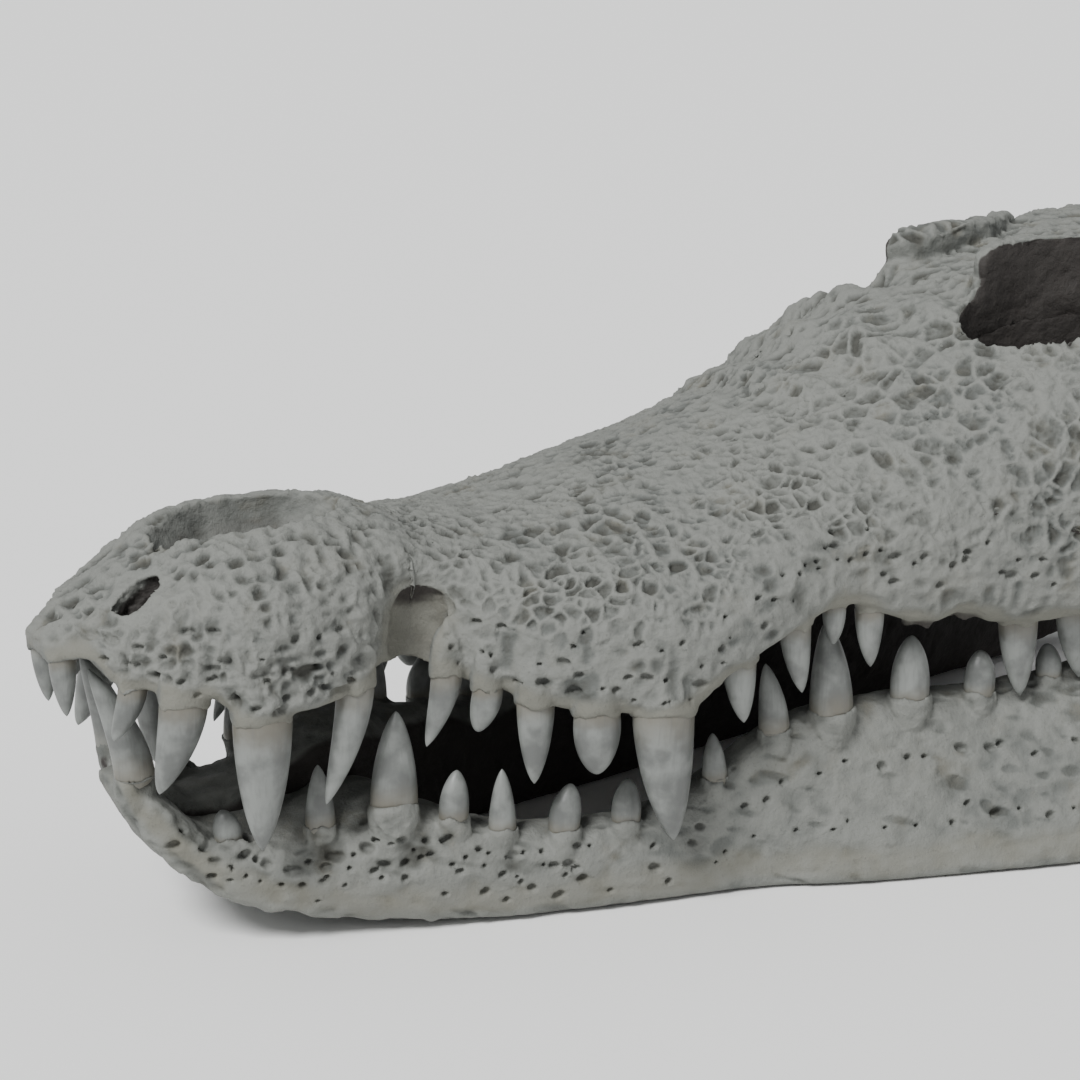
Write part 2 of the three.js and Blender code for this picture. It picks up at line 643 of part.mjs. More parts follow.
const regions = [
  ...SIDES.flatMap(([side, sign]) => craniumRegions(side, sign)),
  ...middleRegions(),
];
const skull = new THREE.Group();
const [craniumBones, braincase] = parted(cranium(), regions);
for (const [name, bone] of [...craniumBones, ['braincase', braincase]]) {
  skull.add(node(name, bone));
}
for (const [side, sign] of SIDES) {
  const [bones, articular] = parted(jawHalf(sign), jawRegions(side, sign));
  for (const [name, bone] of [...bones, [`articular_${side}`, articular]]) {
    skull.add(node(name, bone));
  }
}

const extent = new THREE.Box3().setFromObject(skull);
skull.position.x = -(extent.min.x + extent.max.x) / 2;

export default skull;
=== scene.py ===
"""Crocodile skull with its lower jaw, in metres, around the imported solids.

Tables of the skull's form are in millimetres: the first number is a distance behind the
tip of the snout, y is the distance from the middle line and z the height over the table.
"""

import math

import bpy
import numpy as np
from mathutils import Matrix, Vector


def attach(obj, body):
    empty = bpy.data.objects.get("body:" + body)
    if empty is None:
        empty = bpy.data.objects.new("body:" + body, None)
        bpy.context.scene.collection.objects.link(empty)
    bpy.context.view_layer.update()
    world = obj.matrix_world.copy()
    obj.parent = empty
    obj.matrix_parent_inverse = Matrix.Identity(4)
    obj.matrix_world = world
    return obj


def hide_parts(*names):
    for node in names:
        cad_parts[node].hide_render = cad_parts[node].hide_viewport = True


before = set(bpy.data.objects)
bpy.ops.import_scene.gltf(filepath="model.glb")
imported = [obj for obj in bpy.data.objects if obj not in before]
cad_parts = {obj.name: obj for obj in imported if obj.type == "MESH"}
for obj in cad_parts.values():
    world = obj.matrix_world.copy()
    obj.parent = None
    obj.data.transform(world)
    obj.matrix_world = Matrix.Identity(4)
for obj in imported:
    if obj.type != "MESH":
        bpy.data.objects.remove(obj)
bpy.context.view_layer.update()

# ------------------------------------------------------------------------------ the room
# A plain pale floor that runs up out of sight under a pale sky, with one very soft sun
# from above the snout, as in a bright room with a big window.

FLOOR_COLOR = (0.93, 0.93, 0.92, 1)
CAMERA_PLACE = (-0.490, -0.6335, 0.2765)
CAMERA_TURN = math.radians(28.7)        # from straight across towards the back of the skull
CAMERA_DIP = math.radians(13.8)
CAMERA_LENS = 82.4

world = bpy.data.worlds.new("pale room")
world.use_nodes = True
world.node_tree.nodes["Background"].inputs["Color"].default_value = (0.97, 0.985, 1.0, 1)
world.node_tree.nodes["Background"].inputs["Strength"].default_value = 0.55
bpy.context.scene.world = world

FLOOR_SIDE = 30.0
floor_mesh = bpy.data.meshes.new("floor")
floor_corners = [(x * FLOOR_SIDE, y * FLOOR_SIDE, -0.0004) for x, y in ((-1, -1), (1, -1), (1, 1), (-1, 1))]
floor_mesh.from_pydata(floor_corners, [], [(0, 1, 2, 3)])
floor = bpy.data.objects.new("floor", floor_mesh)
bpy.context.collection.objects.link(floor)
floor_material = bpy.data.materials.new("pale floor")
floor_material.use_nodes = True
floor_shader = floor_material.node_tree.nodes["Principled BSDF"]
floor_shader.inputs["Base Color"].default_value = FLOOR_COLOR
floor_shader.inputs["Roughness"].default_value = 0.9
floor_mesh.materials.append(floor_material)

sun = bpy.data.lights.new("window", "SUN")
sun.energy = 3.9
sun.angle = math.radians(20)
sun_object = bpy.data.objects.new("window", sun)
sun_object.rotation_euler = Vector((0.7, 0.4, -0.9)).to_track_quat("-Z", "Y").to_euler()
bpy.context.collection.objects.link(sun_object)

camera_data = bpy.data.cameras.new("camera")
camera_data.lens = CAMERA_LENS
camera_data.sensor_width = 36
camera = bpy.data.objects.new("camera", camera_data)
camera.location = CAMERA_PLACE
look = Vector((
    math.sin(CAMERA_TURN) * math.cos(CAMERA_DIP),
    math.cos(CAMERA_TURN) * math.cos(CAMERA_DIP),
    -math.sin(CAMERA_DIP),
))
camera.rotation_euler = look.to_track_quat("-Z", "Y").to_euler()
bpy.context.collection.objects.link(camera)
bpy.context.scene.camera = camera

# ------------------------------------------------------------------- form of the cranium
# The upper skull is thin, hard bone: a long snout that widens back into cheeks and ends
# in a flat table.  Its outside is one surface with the openings cut out of it.


def curve(points):
    """Smooth curve through (distance, value) points that never overshoots them: cubic
    pieces whose slope at a point is the harmonic mean of its neighbours' slopes, or 0 at
    a turn."""
    x, y = np.array(points, float).T
    slope = np.diff(y) / np.diff(x)
    before, after = np.r_[slope[:1], slope], np.r_[slope, slope[-1:]]
    agree = before * after > 0
    tangent = np.where(agree, 2 * before * after / np.where(agree, before + after, 1), 0)

    def value(s):
        s = np.clip(s, x[0], x[-1])
        i = np.clip(np.searchsorted(x, s, side="right") - 1, 0, len(x) - 2)
        run = x[i + 1] - x[i]
        t = (s - x[i]) / run
        start = (1 + 2 * t) * (1 - t) ** 2 * y[i] + t * (1 - t) ** 2 * run * tangent[i]
        end = t * t * (3 - 2 * t) * y[i + 1] + t * t * (t - 1) * run * tangent[i + 1]
        return start + end

    return value


def mix(a, b, t):
    return a + (b - a) * t


def smooth(low, high, value):
    """0 below low, 1 above high, and an S-shaped cubic in between."""
    t = np.clip((value - low) / (high - low), 0, 1)
    return t * t * (3 - 2 * t)


roof_height = curve([
    (0, 89), (5, 94), (20, 104), (50, 118.5), (75, 120.5), (95, 118), (112, 113),
    (132, 112), (170, 119), (215, 130), (240, 140), (262, 151.5), (280, 160.5),
    (300, 168.5), (325, 175), (390, 183), (540, 183),
])
palate_height = curve([(0, 87), (20, 84), (60, 81), (95, 84), (115, 82), (200, 87), (260, 88), (540, 90)])
tooth_edge_height = curve([
    (0, 85.5), (5, 86), (10, 87.5), (16, 80), (23, 79), (31, 76.5), (37, 78.5), (43, 73),
    (52, 71.5), (60, 71.5), (72, 74), (80, 77), (88, 79.5), (97, 79.5), (103, 77.5),
    (111, 73.5), (119, 70.5), (133, 66.5), (146, 64.8), (158, 63.5), (168, 64), (174, 67),
    (180, 72), (192, 77.5), (205, 83), (217, 87), (226, 86), (236, 82), (250, 77.5),
    (260, 80), (274, 76), (285, 74.5), (305, 76), (335, 83), (355, 89), (400, 92),
    (500, 92), (540, 90),
])
widest_height = curve([
    (0, 87.5), (20, 89), (50, 86), (80, 92), (96, 104), (110, 92), (145, 84), (165, 82),
    (190, 88), (220, 96), (280, 102), (320, 110), (360, 112), (420, 106), (540, 100),
])
widest = curve([
    (0, 5), (6, 14), (20, 29), (32, 38.5), (50, 47.5), (66, 47), (80, 43.5), (92, 37),
    (100, 37), (108, 43), (120, 51.5), (145, 66.5), (165, 72), (190, 73), (215, 72),
    (240, 74), (270, 79), (300, 87), (330, 95), (370, 104), (400, 110), (450, 122),
    (500, 129.5), (520, 131), (532, 129),
])
tooth_edge = curve([
    (0, 4), (6, 12), (20, 27.5), (32, 37), (50, 46.5), (80, 43), (92, 37), (100, 37),
    (108, 43), (120, 50), (145, 65), (165, 70.5), (190, 71.5), (240, 70), (286, 73),
    (304, 75), (335, 86), (355, 95), (400, 105), (450, 117), (500, 128), (532, 128),
])
flat_roof = curve([(0, 1), (270, 14), (322, 21), (372, 44), (392, 53), (500, 62), (540, 62)])
squareness = curve([(0, 2), (60, 2.3), (120, 2.2), (165, 2.1), (240, 2.1), (295, 2.3), (540, 2.2)])
table_blend = curve([(0, 0), (300, 0), (372, 1), (540, 1)])
RIDGE_WIDTH = 15
SHELL = 11
CRANIUM_REAR = 532
TABLE_REAR = 500
MIDDLE = 301                      # the frame's origin, behind the tip of the snout


def half_section(s, inset=0.0, floor=None):
    """Half sections at the distances s, from the palate's middle line out and up to the
    roof's: flat palate, S-shaped inner side of the tooth ridge, quarter superellipse up
    to the widest line, then a superellipse dome that turns into a flat table further
    back.  An inset draws it in all round, and a floor replaces the palate."""
    s = s[:, None]
    side, side_height, roof = widest(s) - inset, widest_height(s), roof_height(s) - inset
    flat, edge, edge_height = flat_roof(s) - 0.6 * inset, tooth_edge(s), tooth_edge_height(s)
    ridge = np.minimum(RIDGE_WIDTH, 0.6 * edge)
    palate = np.maximum(palate_height(s), np.minimum(edge_height + 2, 84))
    foot = edge - 0.27 * ridge
    t = np.linspace(0, 1, 8)[None, :]
    quarter = 0.5 * np.pi * t
    if floor is None:
        y = [t * (edge - ridge), edge - ridge + t * (foot - edge + ridge),
             foot + (side - foot) * np.sin(quarter) ** 0.6]
        z = [palate + 0 * t, mix(palate, edge_height, smooth(0, 1, t)),
             mix(edge_height, side_height, 1 - np.cos(quarter) ** 0.6)]
    else:
        y, z = [t * side, side + 0 * t], [floor + 0 * t * side, mix(floor, side_height, t)]
    t = np.linspace(0, 1, 26)[None, :]
    quarter = 0.5 * np.pi * t
    power = 2 / squareness(s)
    dome_y, dome_z = side * np.cos(quarter) ** power, mix(side_height, roof, np.sin(quarter) ** power)
    rise, level = np.minimum(t / 0.6, 1), np.maximum(t - 0.6, 0) / 0.4
    table_y = mix(mix(side, flat, rise), 0, level)
    table_z = mix(side_height, roof - 2, rise) + 2 * level
    blend = table_blend(s)
    y.append(mix(dome_y, table_y, blend))
    z.append(mix(dome_z, table_z, blend))
    return tuple(np.concatenate([part[0]] + [a[:, 1:] for a in part[1:]], 1) for part in (y, z))


def whole_rings(s, half):
    """Half sections mirrored about the middle line into closed rings."""
    y, z = half
    y = np.concatenate([-y, y[:, -2:0:-1]], 1)
    z = np.concatenate([z, z[:, -2:0:-1]], 1)
    return np.stack([np.broadcast_to(s[:, None], y.shape), y, z], -1)


def closed(vertices, faces):
    """Closed mesh with its faces outwards: the fan volume of all faces, given as arrays
    of faces with equally many corners, tells whether they have to be turned round."""
    volume = 0.0
    for group in faces:
        corners = vertices[group]
        for k in range(1, group.shape[1] - 1):
            volume += np.einsum("ij,ij->", corners[:, 0], np.cross(corners[:, k], corners[:, k + 1]))
    if volume < 0:
        faces = [group[:, ::-1] for group in faces]
    mesh = bpy.data.meshes.new("closed")
    mesh.from_pydata(vertices.tolist(), [], [face for group in faces for face in group.tolist()])
    return mesh


def shell(points):
    """Closed body through rings of points, rows by columns, with a fan round the middle
    of the first ring and of the last."""
    rows, columns = points.shape[:2]
    corner = np.arange(rows * columns).reshape(rows, columns)
    ahead = np.roll(corner, -1, axis=1)
    quads = np.stack([corner[:-1], ahead[:-1], ahead[1:], corner[1:]], -1).reshape(-1, 4)
    vertices = np.concatenate([points.reshape(-1, 3), points[[0, -1]].mean(axis=1)])
    centre = np.full(columns, rows * columns)
    first = np.stack([ahead[0], corner[0], centre], -1)
    last = np.stack([corner[-1], ahead[-1], centre + 1], -1)
    return closed(vertices, [quads, first, last])


def egg(x, y, z, half_x, half_y, half_z, rows=24, columns=32):
    """Ellipsoid: rings of latitude about an upright axis."""
    up = np.linspace(0.03, np.pi - 0.03, rows)[:, None]
    turn = np.linspace(0, 2 * np.pi, columns, endpoint=False)[None, :]
    return shell(np.stack([
        x + half_x * np.sin(up) * np.cos(turn),
        y + half_y * np.sin(up) * np.sin(turn),
        z + half_z * np.cos(up) + 0 * turn,
    ], -1))


def rod(points, squareness=2.3, columns=24, steps=4):
    """Rod through points (x, y, z, half width, half height), upright superellipse
    sections, with its sizes eased between the points."""
    points = np.array(points, float)
    place = np.linspace(0, len(points) - 1, steps * (len(points) - 1) + 1)
    x, y, z, wide, high = (np.interp(place, np.arange(len(points)), points[:, k])[:, None] for k in range(5))
    turn = np.linspace(0, 2 * np.pi, columns, endpoint=False)[None, :]
    cosine, sine = np.cos(turn), np.sin(turn)
    return shell(np.stack([
        x + 0 * turn,
        y + wide * np.sign(cosine) * np.abs(cosine) ** (2 / squareness),
        z + high * np.sign(sine) * np.abs(sine) ** (2 / squareness),
    ], -1))


def lattice(cell, salt):
    """A fixed random number from 0 to 1 for each whole-numbered cell, from products of
    its three numbers with large primes."""
    mixed = cell[..., 0] * 73856093 ^ cell[..., 1] * 19349663 ^ cell[..., 2] * 83492791 ^ (salt * 26544357)
    mixed = (mixed ^ (mixed >> 13)) * 1274126177 & 0xFFFFFFFF
    return ((mixed ^ (mixed >> 15)) & 0xFFFF) / 65535.0


def noise(points, size, salt=0):
    """Smooth noise from -1 to 1 that changes over the given size: each cell's eight
    random corners blended by S-shaped weights."""
    q = points / size
    base = np.floor(q).astype(np.int64)
    t = q - base
    t = t * t * (3 - 2 * t)
    total = np.zeros(len(q))
    for corner in np.ndindex(2, 2, 2):
        weight = np.prod(np.where(np.array(corner) == 1, t, 1 - t), axis=1)
        total += weight * lattice(base + np.array(corner), salt)
    return 2 * total - 1


def wavy(outline, amount, salt):
    """Outline with a point every 2 mm, each moved by noise, as the teeth of a suture."""
    outline = np.array(outline, float)
    ahead = np.roll(outline, -1, axis=0)
    lengths = np.hypot(*(ahead - outline).T)
    parts = [
        a + (b - a) * (np.arange(int(n)) / int(n))[:, None]
        for a, b, n in zip(outline, ahead, np.maximum(lengths / 2, 1))
    ]
    points = np.concatenate(parts)
    solid_points = np.column_stack([points, np.zeros(len(points))])
    shift = np.column_stack([noise(solid_points, 4.5, salt), noise(solid_points, 4.5, salt + 1)])
    return points + amount * shift


def grown(outline, by):
    """Outline with every edge moved outwards."""
    ahead, behind = np.roll(outline, -1, axis=0) - outline, outline - np.roll(outline, 1, axis=0)
    area = np.sum(outline[:, 0] * np.roll(outline[:, 1], -1) - outline[:, 1] * np.roll(outline[:, 0], -1))
    normals = [
        np.column_stack([edge[:, 1], -edge[:, 0]]) / np.hypot(*edge.T)[:, None] * np.sign(area)
        for edge in (behind, ahead)
    ]
    dot = np.clip(np.sum(normals[0] * normals[1], axis=1), -0.5, 1)[:, None]
    return outline + (normals[0] + normals[1]) * by / (1 + dot)


def prism(outline, low, high, across=False):
    """Straight block on an outline: drawn from above between two heights, or across the
    skull, drawn from the side between two distances from the middle line."""
    outline = np.asarray(outline, float)
    count = len(outline)
    u, v = (np.broadcast_to(outline[:, k], (2, count)) for k in (0, 1))
    level = np.array([[low], [high]]) + 0 * u
    points = np.stack([u, level, v] if across else [u, v, level], -1).reshape(-1, 3)
    ring = np.arange(count)
    sides = np.stack([ring, np.roll(ring, -1), np.roll(ring, -1) + count, ring + count], -1)
    return closed(points, [sides, ring[None, ::-1], ring[None, :] + count])


def corners_and_triangles(mesh):
    """A mesh's corner places and its triangles, as arrays."""
    vertices = np.empty(3 * len(mesh.vertices), np.float32)
    mesh.vertices.foreach_get("co", vertices)
    mesh.calc_loop_triangles()
    triangles = np.empty(3 * len(mesh.loop_triangles), np.int32)
    mesh.loop_triangles.foreach_get("vertices", triangles)
    return vertices.reshape(-1, 3).astype(float), triangles.reshape(-1, 3)


def together(meshes):
    """Several closed meshes as one; where they overlap, the remesh later makes them one."""
    places, groups, count = [], [], 0
    for mesh in meshes:
        vertices, triangles = corners_and_triangles(mesh)
        places.append(vertices)
        groups.append(triangles + count)
        count += len(vertices)
    mesh = bpy.data.meshes.new("together")
    mesh.from_pydata(np.concatenate(places).tolist(), [], np.concatenate(groups).tolist())
    return mesh


def modified(mesh, *steps):
    """The mesh after some modifiers, each given as a type and its settings."""
    body = bpy.data.objects.new("body", mesh)
    bpy.context.collection.objects.link(body)
    for kind, settings in steps:
        modifier = body.modifiers.new(kind, kind)
        for name, value in settings.items():
            setattr(modifier, name, value)
    result = bpy.data.meshes.new_from_object(body.evaluated_get(bpy.context.evaluated_depsgraph_get()))
    bpy.data.objects.remove(body)
    return result


def boolean(mesh, tool, operation):
    """The mesh with a closed tool taken away (DIFFERENCE) or what both share (INTERSECT)."""
    cutter = bpy.data.objects.new("cutter", tool)
    bpy.context.collection.objects.link(cutter)
    result = modified(mesh, ("BOOLEAN", {"operation": operation, "solver": "MANIFOLD", "object": cutter}))
    bpy.data.objects.remove(cutter)
    return result


# Openings: nostril, eye sockets, holes in the table and behind the eyes, ear slits, the
# long holes through the palate, and the holes that the first lower teeth run up into.

ORBIT_PLACE, ORBIT_OUT = 322, 45          # its middle: behind the tip, and from the middle line
ORBIT_HALF_LENGTH, ORBIT_HALF_WIDTH, ORBIT_SLANT = 37, 19, 0.13


def orbit(sign):
    """Outline of an eye socket from above: an egg shape, its front end nearer the middle."""
    turn = np.linspace(0, 2 * np.pi, 64, endpoint=False)
    cosine, sine = np.cos(turn), np.sin(turn)
    along = ORBIT_HALF_LENGTH * np.sign(cosine) * np.abs(cosine) ** 0.85
    across = ORBIT_OUT + ORBIT_SLANT * along + ORBIT_HALF_WIDTH * np.sign(sine) * np.abs(sine) ** 0.9
    return np.column_stack([ORBIT_PLACE + along, sign * across])


def rounded(outline):
    """Outline with its corners cut off three times over, at a quarter of each side."""
    points = np.array(outline, float)
    for _ in range(3):
        ahead = np.roll(points, -1, axis=0)
        points = np.stack([mix(points, ahead, 0.25), mix(points, ahead, 0.75)], 1).reshape(-1, 2)
    return points


def cranium_openings(sign):
    """Cutters of one side of the cranium."""
    turn = np.linspace(0, 2 * np.pi, 64, endpoint=False)
    cosine, sine = np.cos(turn), np.sin(turn)
    table_hole = np.column_stack([440 + 19 * cosine, sign * (28 + 13 * sine)])
    palate_hole = np.column_stack([322 + 62 * cosine, sign * (40 + 21 * sine)])
    behind_eye = [(382, 121), (462, 118), (466, 124), (436, 172), (428, 177), (398, 177), (392, 172)]
    ear_slit = [(446, 168), (498, 160), (500, 172), (446, 176)]
    return [
        prism(orbit(sign), 106, 230),
        prism(table_hole, 150, 230),
        prism(palate_hole, 50, 112),
        prism(rounded(behind_eye), sign * 40, sign * 150, across=True),
        prism(rounded(ear_slit), sign * 52, sign * 150, across=True),
        rod([(14.5, sign * 16.5, 70, 6.5, 6.5), (24, sign * 18, 100, 5, 5)]),
        egg(25.6, sign * 18, 101.5, 8, 5, 7.5),
        egg(98, sign * 52, 84, 12, 21.5, 23),
    ]


def plate(half, near, far):
    """Plate across the skull between two distances: a half outline and its mirror."""
    half = np.array(half, float)
    y, z = half[None, :, 0], half[None, :, 1]
    return shell(whole_rings(np.array([near, far], float), (np.repeat(y, 2, 0), np.repeat(z, 2, 0))))


distances = np.concatenate([
    np.linspace(1.8, 24, 16, endpoint=False), np.linspace(24, CRANIUM_REAR, 190),
])
cranium = shell(whole_rings(distances, half_section(distances)))
chamber_distances = np.linspace(298, 560, 40)
chamber = shell(whole_rings(chamber_distances, half_section(chamber_distances, SHELL, 40.0)))
rear_cuts = [
    chamber,
    prism([(TABLE_REAR + 3, -64), (TABLE_REAR + 3, 64), (545, 92), (545, -92)], 40, 230),
    prism([(503, 172), (533, 110), (560, 110), (560, 220), (503, 220)], -150, 150, across=True),
    egg(63, 0, 122, 31, 20, 23),
    egg(52, 0, 80, 13, 6.5, 22),
]
for cutter in rear_cuts + cranium_openings(-1) + cranium_openings(1):
    cranium = boolean(cranium, cutter, "DIFFERENCE")

palatine_width = curve([(236, 24), (290, 17), (335, 15.5), (365, 20), (392, 28)])
wing = curve([(366, 20), (384, 44), (400, 70), (424, 76), (444, 58), (464, 32), (480, 22)])
droop = curve([(366, 4), (400, 20), (424, 26), (444, 14), (480, 2)])
braincase_width = curve([(392, 12), (420, 17), (460, 21), (500, 27)])


# Lumps on the raised rims of the eye sockets: distance, from the middle, height, radius.
ORBIT_KNOBS = ((311, 24, 174.5, 7.5), (336, 25, 179, 4), (350, 31, 179.5, 3.8), (362, 41, 179.5, 3.4))


def cranium_struts():
    """Bars and plates inside and under the rear half: tooth bar, pillar, ectopterygoid and
    quadrate of each side, then palatines, pterygoid wings, braincase, rear plate and the
    round condyle that the neck turned on."""
    bodies = []
    for sign in (-1, 1):
        s = np.linspace(284, 348, 5)
        outer, inner, low = widest(s) - 3, mix(60, 80, (s - 284) / 64), tooth_edge_height(s)
        bodies.append(rod(np.column_stack([
            s, sign * (outer + inner) / 2, (low + 104) / 2, (outer - inner) / 2, (104 - low) / 2,
        ]), 4))
        bodies.append(rod([
            (284, sign * 26, 130, 5, 28), (300, sign * 24, 132, 5, 32), (312, sign * 23, 136, 6, 39),
            (330, sign * 23.5, 137, 6, 41), (350, sign * 29, 138, 6, 40), (396, sign * 16, 138, 5, 38),
        ], 3))
        bodies.append(rod([
            (292, sign * 24, 156, 4.5, 4), (300, sign * 23.5, 163, 5.5, 6), (308, sign * 23, 172, 6.5, 7.5),
            (316, sign * 23, 176, 6.5, 7), (328, sign * 24.5, 177, 6.5, 6.5), (344, sign * 29, 177.3, 6.5, 6),
            (353, sign * 34.5, 177.5, 6.5, 5.5), (362, sign * 42, 178, 6.5, 4.5),
        ]))
        for x, y, z, size in ORBIT_KNOBS:
            bodies.append(egg(x, sign * y, z, size * 1.3, size, size))
        bodies.append(rod([
            (326, sign * 80, 95, 8, 7), (356, sign * 80, 93, 9, 6),
            (384, sign * 68, 85, 8, 7), (416, sign * 66, 73, 7, 8),
        ]))
        bodies.append(rod([
            (444, sign * 22, 150, 10, 18), (482, sign * 64, 140, 24, 15),
            (515, sign * 106, 102, 23, 13), (531, sign * 111, 96, 17, 8),
        ], 2.5))
    s = np.linspace(236, 392, 24)
    bodies.append(rod(np.column_stack([s, 0 * s, 95 + 0 * s, palatine_width(s), 13 + 0 * s]), 3, steps=1))
    s = np.linspace(366, 480, 40)[:, None]
    t = np.linspace(0, 1, 12)[None, :]
    hang = droop(s) * t ** 1.3
    y = np.concatenate([t * wing(s), wing(s) * t[:, ::-1]], 1)
    z = np.concatenate([98 - 6 * t - hang, 86 - 2 * t[:, ::-1] - hang[:, ::-1]], 1)
    bodies.append(shell(whole_rings(s[:, 0], (y, z))))
    s = np.linspace(392, TABLE_REAR, 24)
    bodies.append(rod(np.column_stack([s, 0 * s, 138 + 0 * s, braincase_width(s), 46 + 0 * s]), 3, steps=1))
    rear = [(0, 180), (54, 180), (94, 162), (98, 150), (50, 138), (28, 120), (22, 98), (0, 94)]
    bodies.append(plate(rear, TABLE_REAR - 14, TABLE_REAR))
    bodies.append(egg(507, 0, 141, 9.5, 9.5, 8.6))
    return bodies


# ------------------------------------------------------------------------ upper teeth
# Conical, slightly bent teeth of unequal size, the largest five behind the tip of each
# jaw.  Each stands in a low raised collar of bone.  Rows: distance behind the tip,
# distance from the middle, length out of the bone, width, bend back, bend outwards.

PREMAXILLARY_TEETH = (
    (6, 8, 17, 7.5, 0.5, 0), (20, 24, 13.4, 7.8, -6, 1), (31, 33, 24.3, 13, -8, 1),
    (50, 41.5, 37.6, 16, -1, 0), (78, 40.5, 32.2, 10.5, -10, 1.5),
)
MAXILLARY_TEETH = (
    (106, 40.5, 20.5, 9, -7, 1), (116, 46, 12.6, 8.5, -3, 0), (128, 52, 24.2, 11, -1, 1),
    (143, 60.5, 19.3, 13, 0, 0), (162, 65, 40, 18, 4, 0), (186, 67, 19, 10, 2, 0),
    (205, 67, 21, 9.5, 3, 0), (219, 66.5, 12, 7, 0, 0), (232, 66, 17.8, 9, 1, 0),
    (286, 68.5, 25, 12.5, 2, 0), (305, 71, 23, 11, 4, 0), (321, 76, 15.3, 9, 2, 0),
)
EMPTY_UPPER_SOCKETS = ((249, 66.5, 9), (266, 67, 9))
DOWN, UP = -1, 1


def collar(x, y, width, sign, height, way):
    """Swelling of bone round a tooth's root, ending in a thin uneven lip round a dished
    mouth: an egg shape that comes out of the upper jaw, or a low skirt on the lower."""
    radius = 0.5 * width
    if way == DOWN:
        out = radius * np.array([0.3, 0.68, 0.88, 0.98, 1.02, 1.02, 0.96, 0.8])
        out = out + np.array([0.0, 0.4, 0.7, 0.8, 0.7, 0.4, 0.1, -0.2])
        room = np.clip((roof_height(x) - height - 6) / 17, 0.1, 1)
        along = np.array([-17.0, -13.0, -9.0, -5.0, -1.0, 0.8, 0.8, -1.8]) * np.array([room] * 5 + [1] * 3)
    else:
        out = radius + np.array([-1.6, 0.5, 0.9, 1.0, 0.8, 0.5, 0.1, -1.0])
        along = np.array([-12.0, -5.0, -2.4, -0.8, 0.4, 1.0, 1.0, -0.6])
    turn = np.linspace(0, 2 * np.pi, 32, endpoint=False)[None, :]
    ragged = np.sin(3 * turn + x) * 0.5 + np.sin(5 * turn + 2 * x + way) * 0.35
    ragged = ragged * smooth(-2, 0.8, along)[:, None] * (1 if way == DOWN else 0.6)
    return shell(np.stack([
        x + out[:, None] * np.cos(turn),
        sign * (y + 0.85 * out[:, None] * np.sin(turn)),
        height + way * (along[:, None] + ragged),
    ], -1))


def socket_hole(x, y, width, sign, height, way):
    """Cutter for the empty socket of a lost tooth."""
    return egg(x, sign * y, height - way * 2, 0.36 * width, 0.32 * width, 8, rows=12, columns=16)


upper_collars, upper_holes = [], []
for sign in (-1, 1):
    for x, y, length, width, *bend in PREMAXILLARY_TEETH + MAXILLARY_TEETH:
        upper_collars.append(collar(x, y, width, sign, tooth_edge_height(x), DOWN))
    for x, y, width in EMPTY_UPPER_SOCKETS:
        upper_collars.append(collar(x, y, width, sign, tooth_edge_height(x), DOWN))
        upper_holes.append(socket_hole(x, y, width, sign, tooth_edge_height(x), DOWN))


# ------------------------------------------------------------- bones of the cranium
# The cranium is bones that grew against each other; each is parted from the rest along
# a thin uneven suture, then given the pits and grooves of its outer face.

SEAM = 1.0                        # the remesh eases each bone's edge, so neighbours share this
MIDDLE_GAP = 0.3
WAVE = 1.6
SHOWN, HIDDEN = (0.6, 0.42), (1.0, 0.62)      # the remesh's step, and the share of triangles kept
SHOWN_BONES = (
    "premaxilla_left", "maxilla_left", "nasal_left", "prefrontal_left", "lacrimal_left",
    "jugal_left", "dentary_left", "frontal",
)


def above(outline, sign, low, high, salt=0):
    """Region drawn from above, turned over for the left side, as a function of its growth."""
    edge = wavy([(x, y * sign) for x, y in outline], WAVE, salt + 7 * sign)
    return lambda grow: prism(grown(edge, grow), low - grow, high + grow)


def beside(outline, sign, near, far, salt=0):
    """Region drawn from the side, between two distances from the middle."""
    edge = wavy(outline, WAVE, salt + 7 * sign)
    return lambda grow: prism(grown(edge, grow), sign * (near - grow), sign * (far + grow), across=True)


def both(first, second):
    return lambda grow: boolean(first(grow), second(grow), "INTERSECT")


def parted(whole, regions):
    """Bones taken off a whole one after another along hairline seams, and the rest."""
    bones = []
    for name, region in regions:
        bones.append((name, boolean(whole, region(SEAM), "INTERSECT")))
        whole = boolean(whole, region(-SEAM), "DIFFERENCE")
    return bones, whole


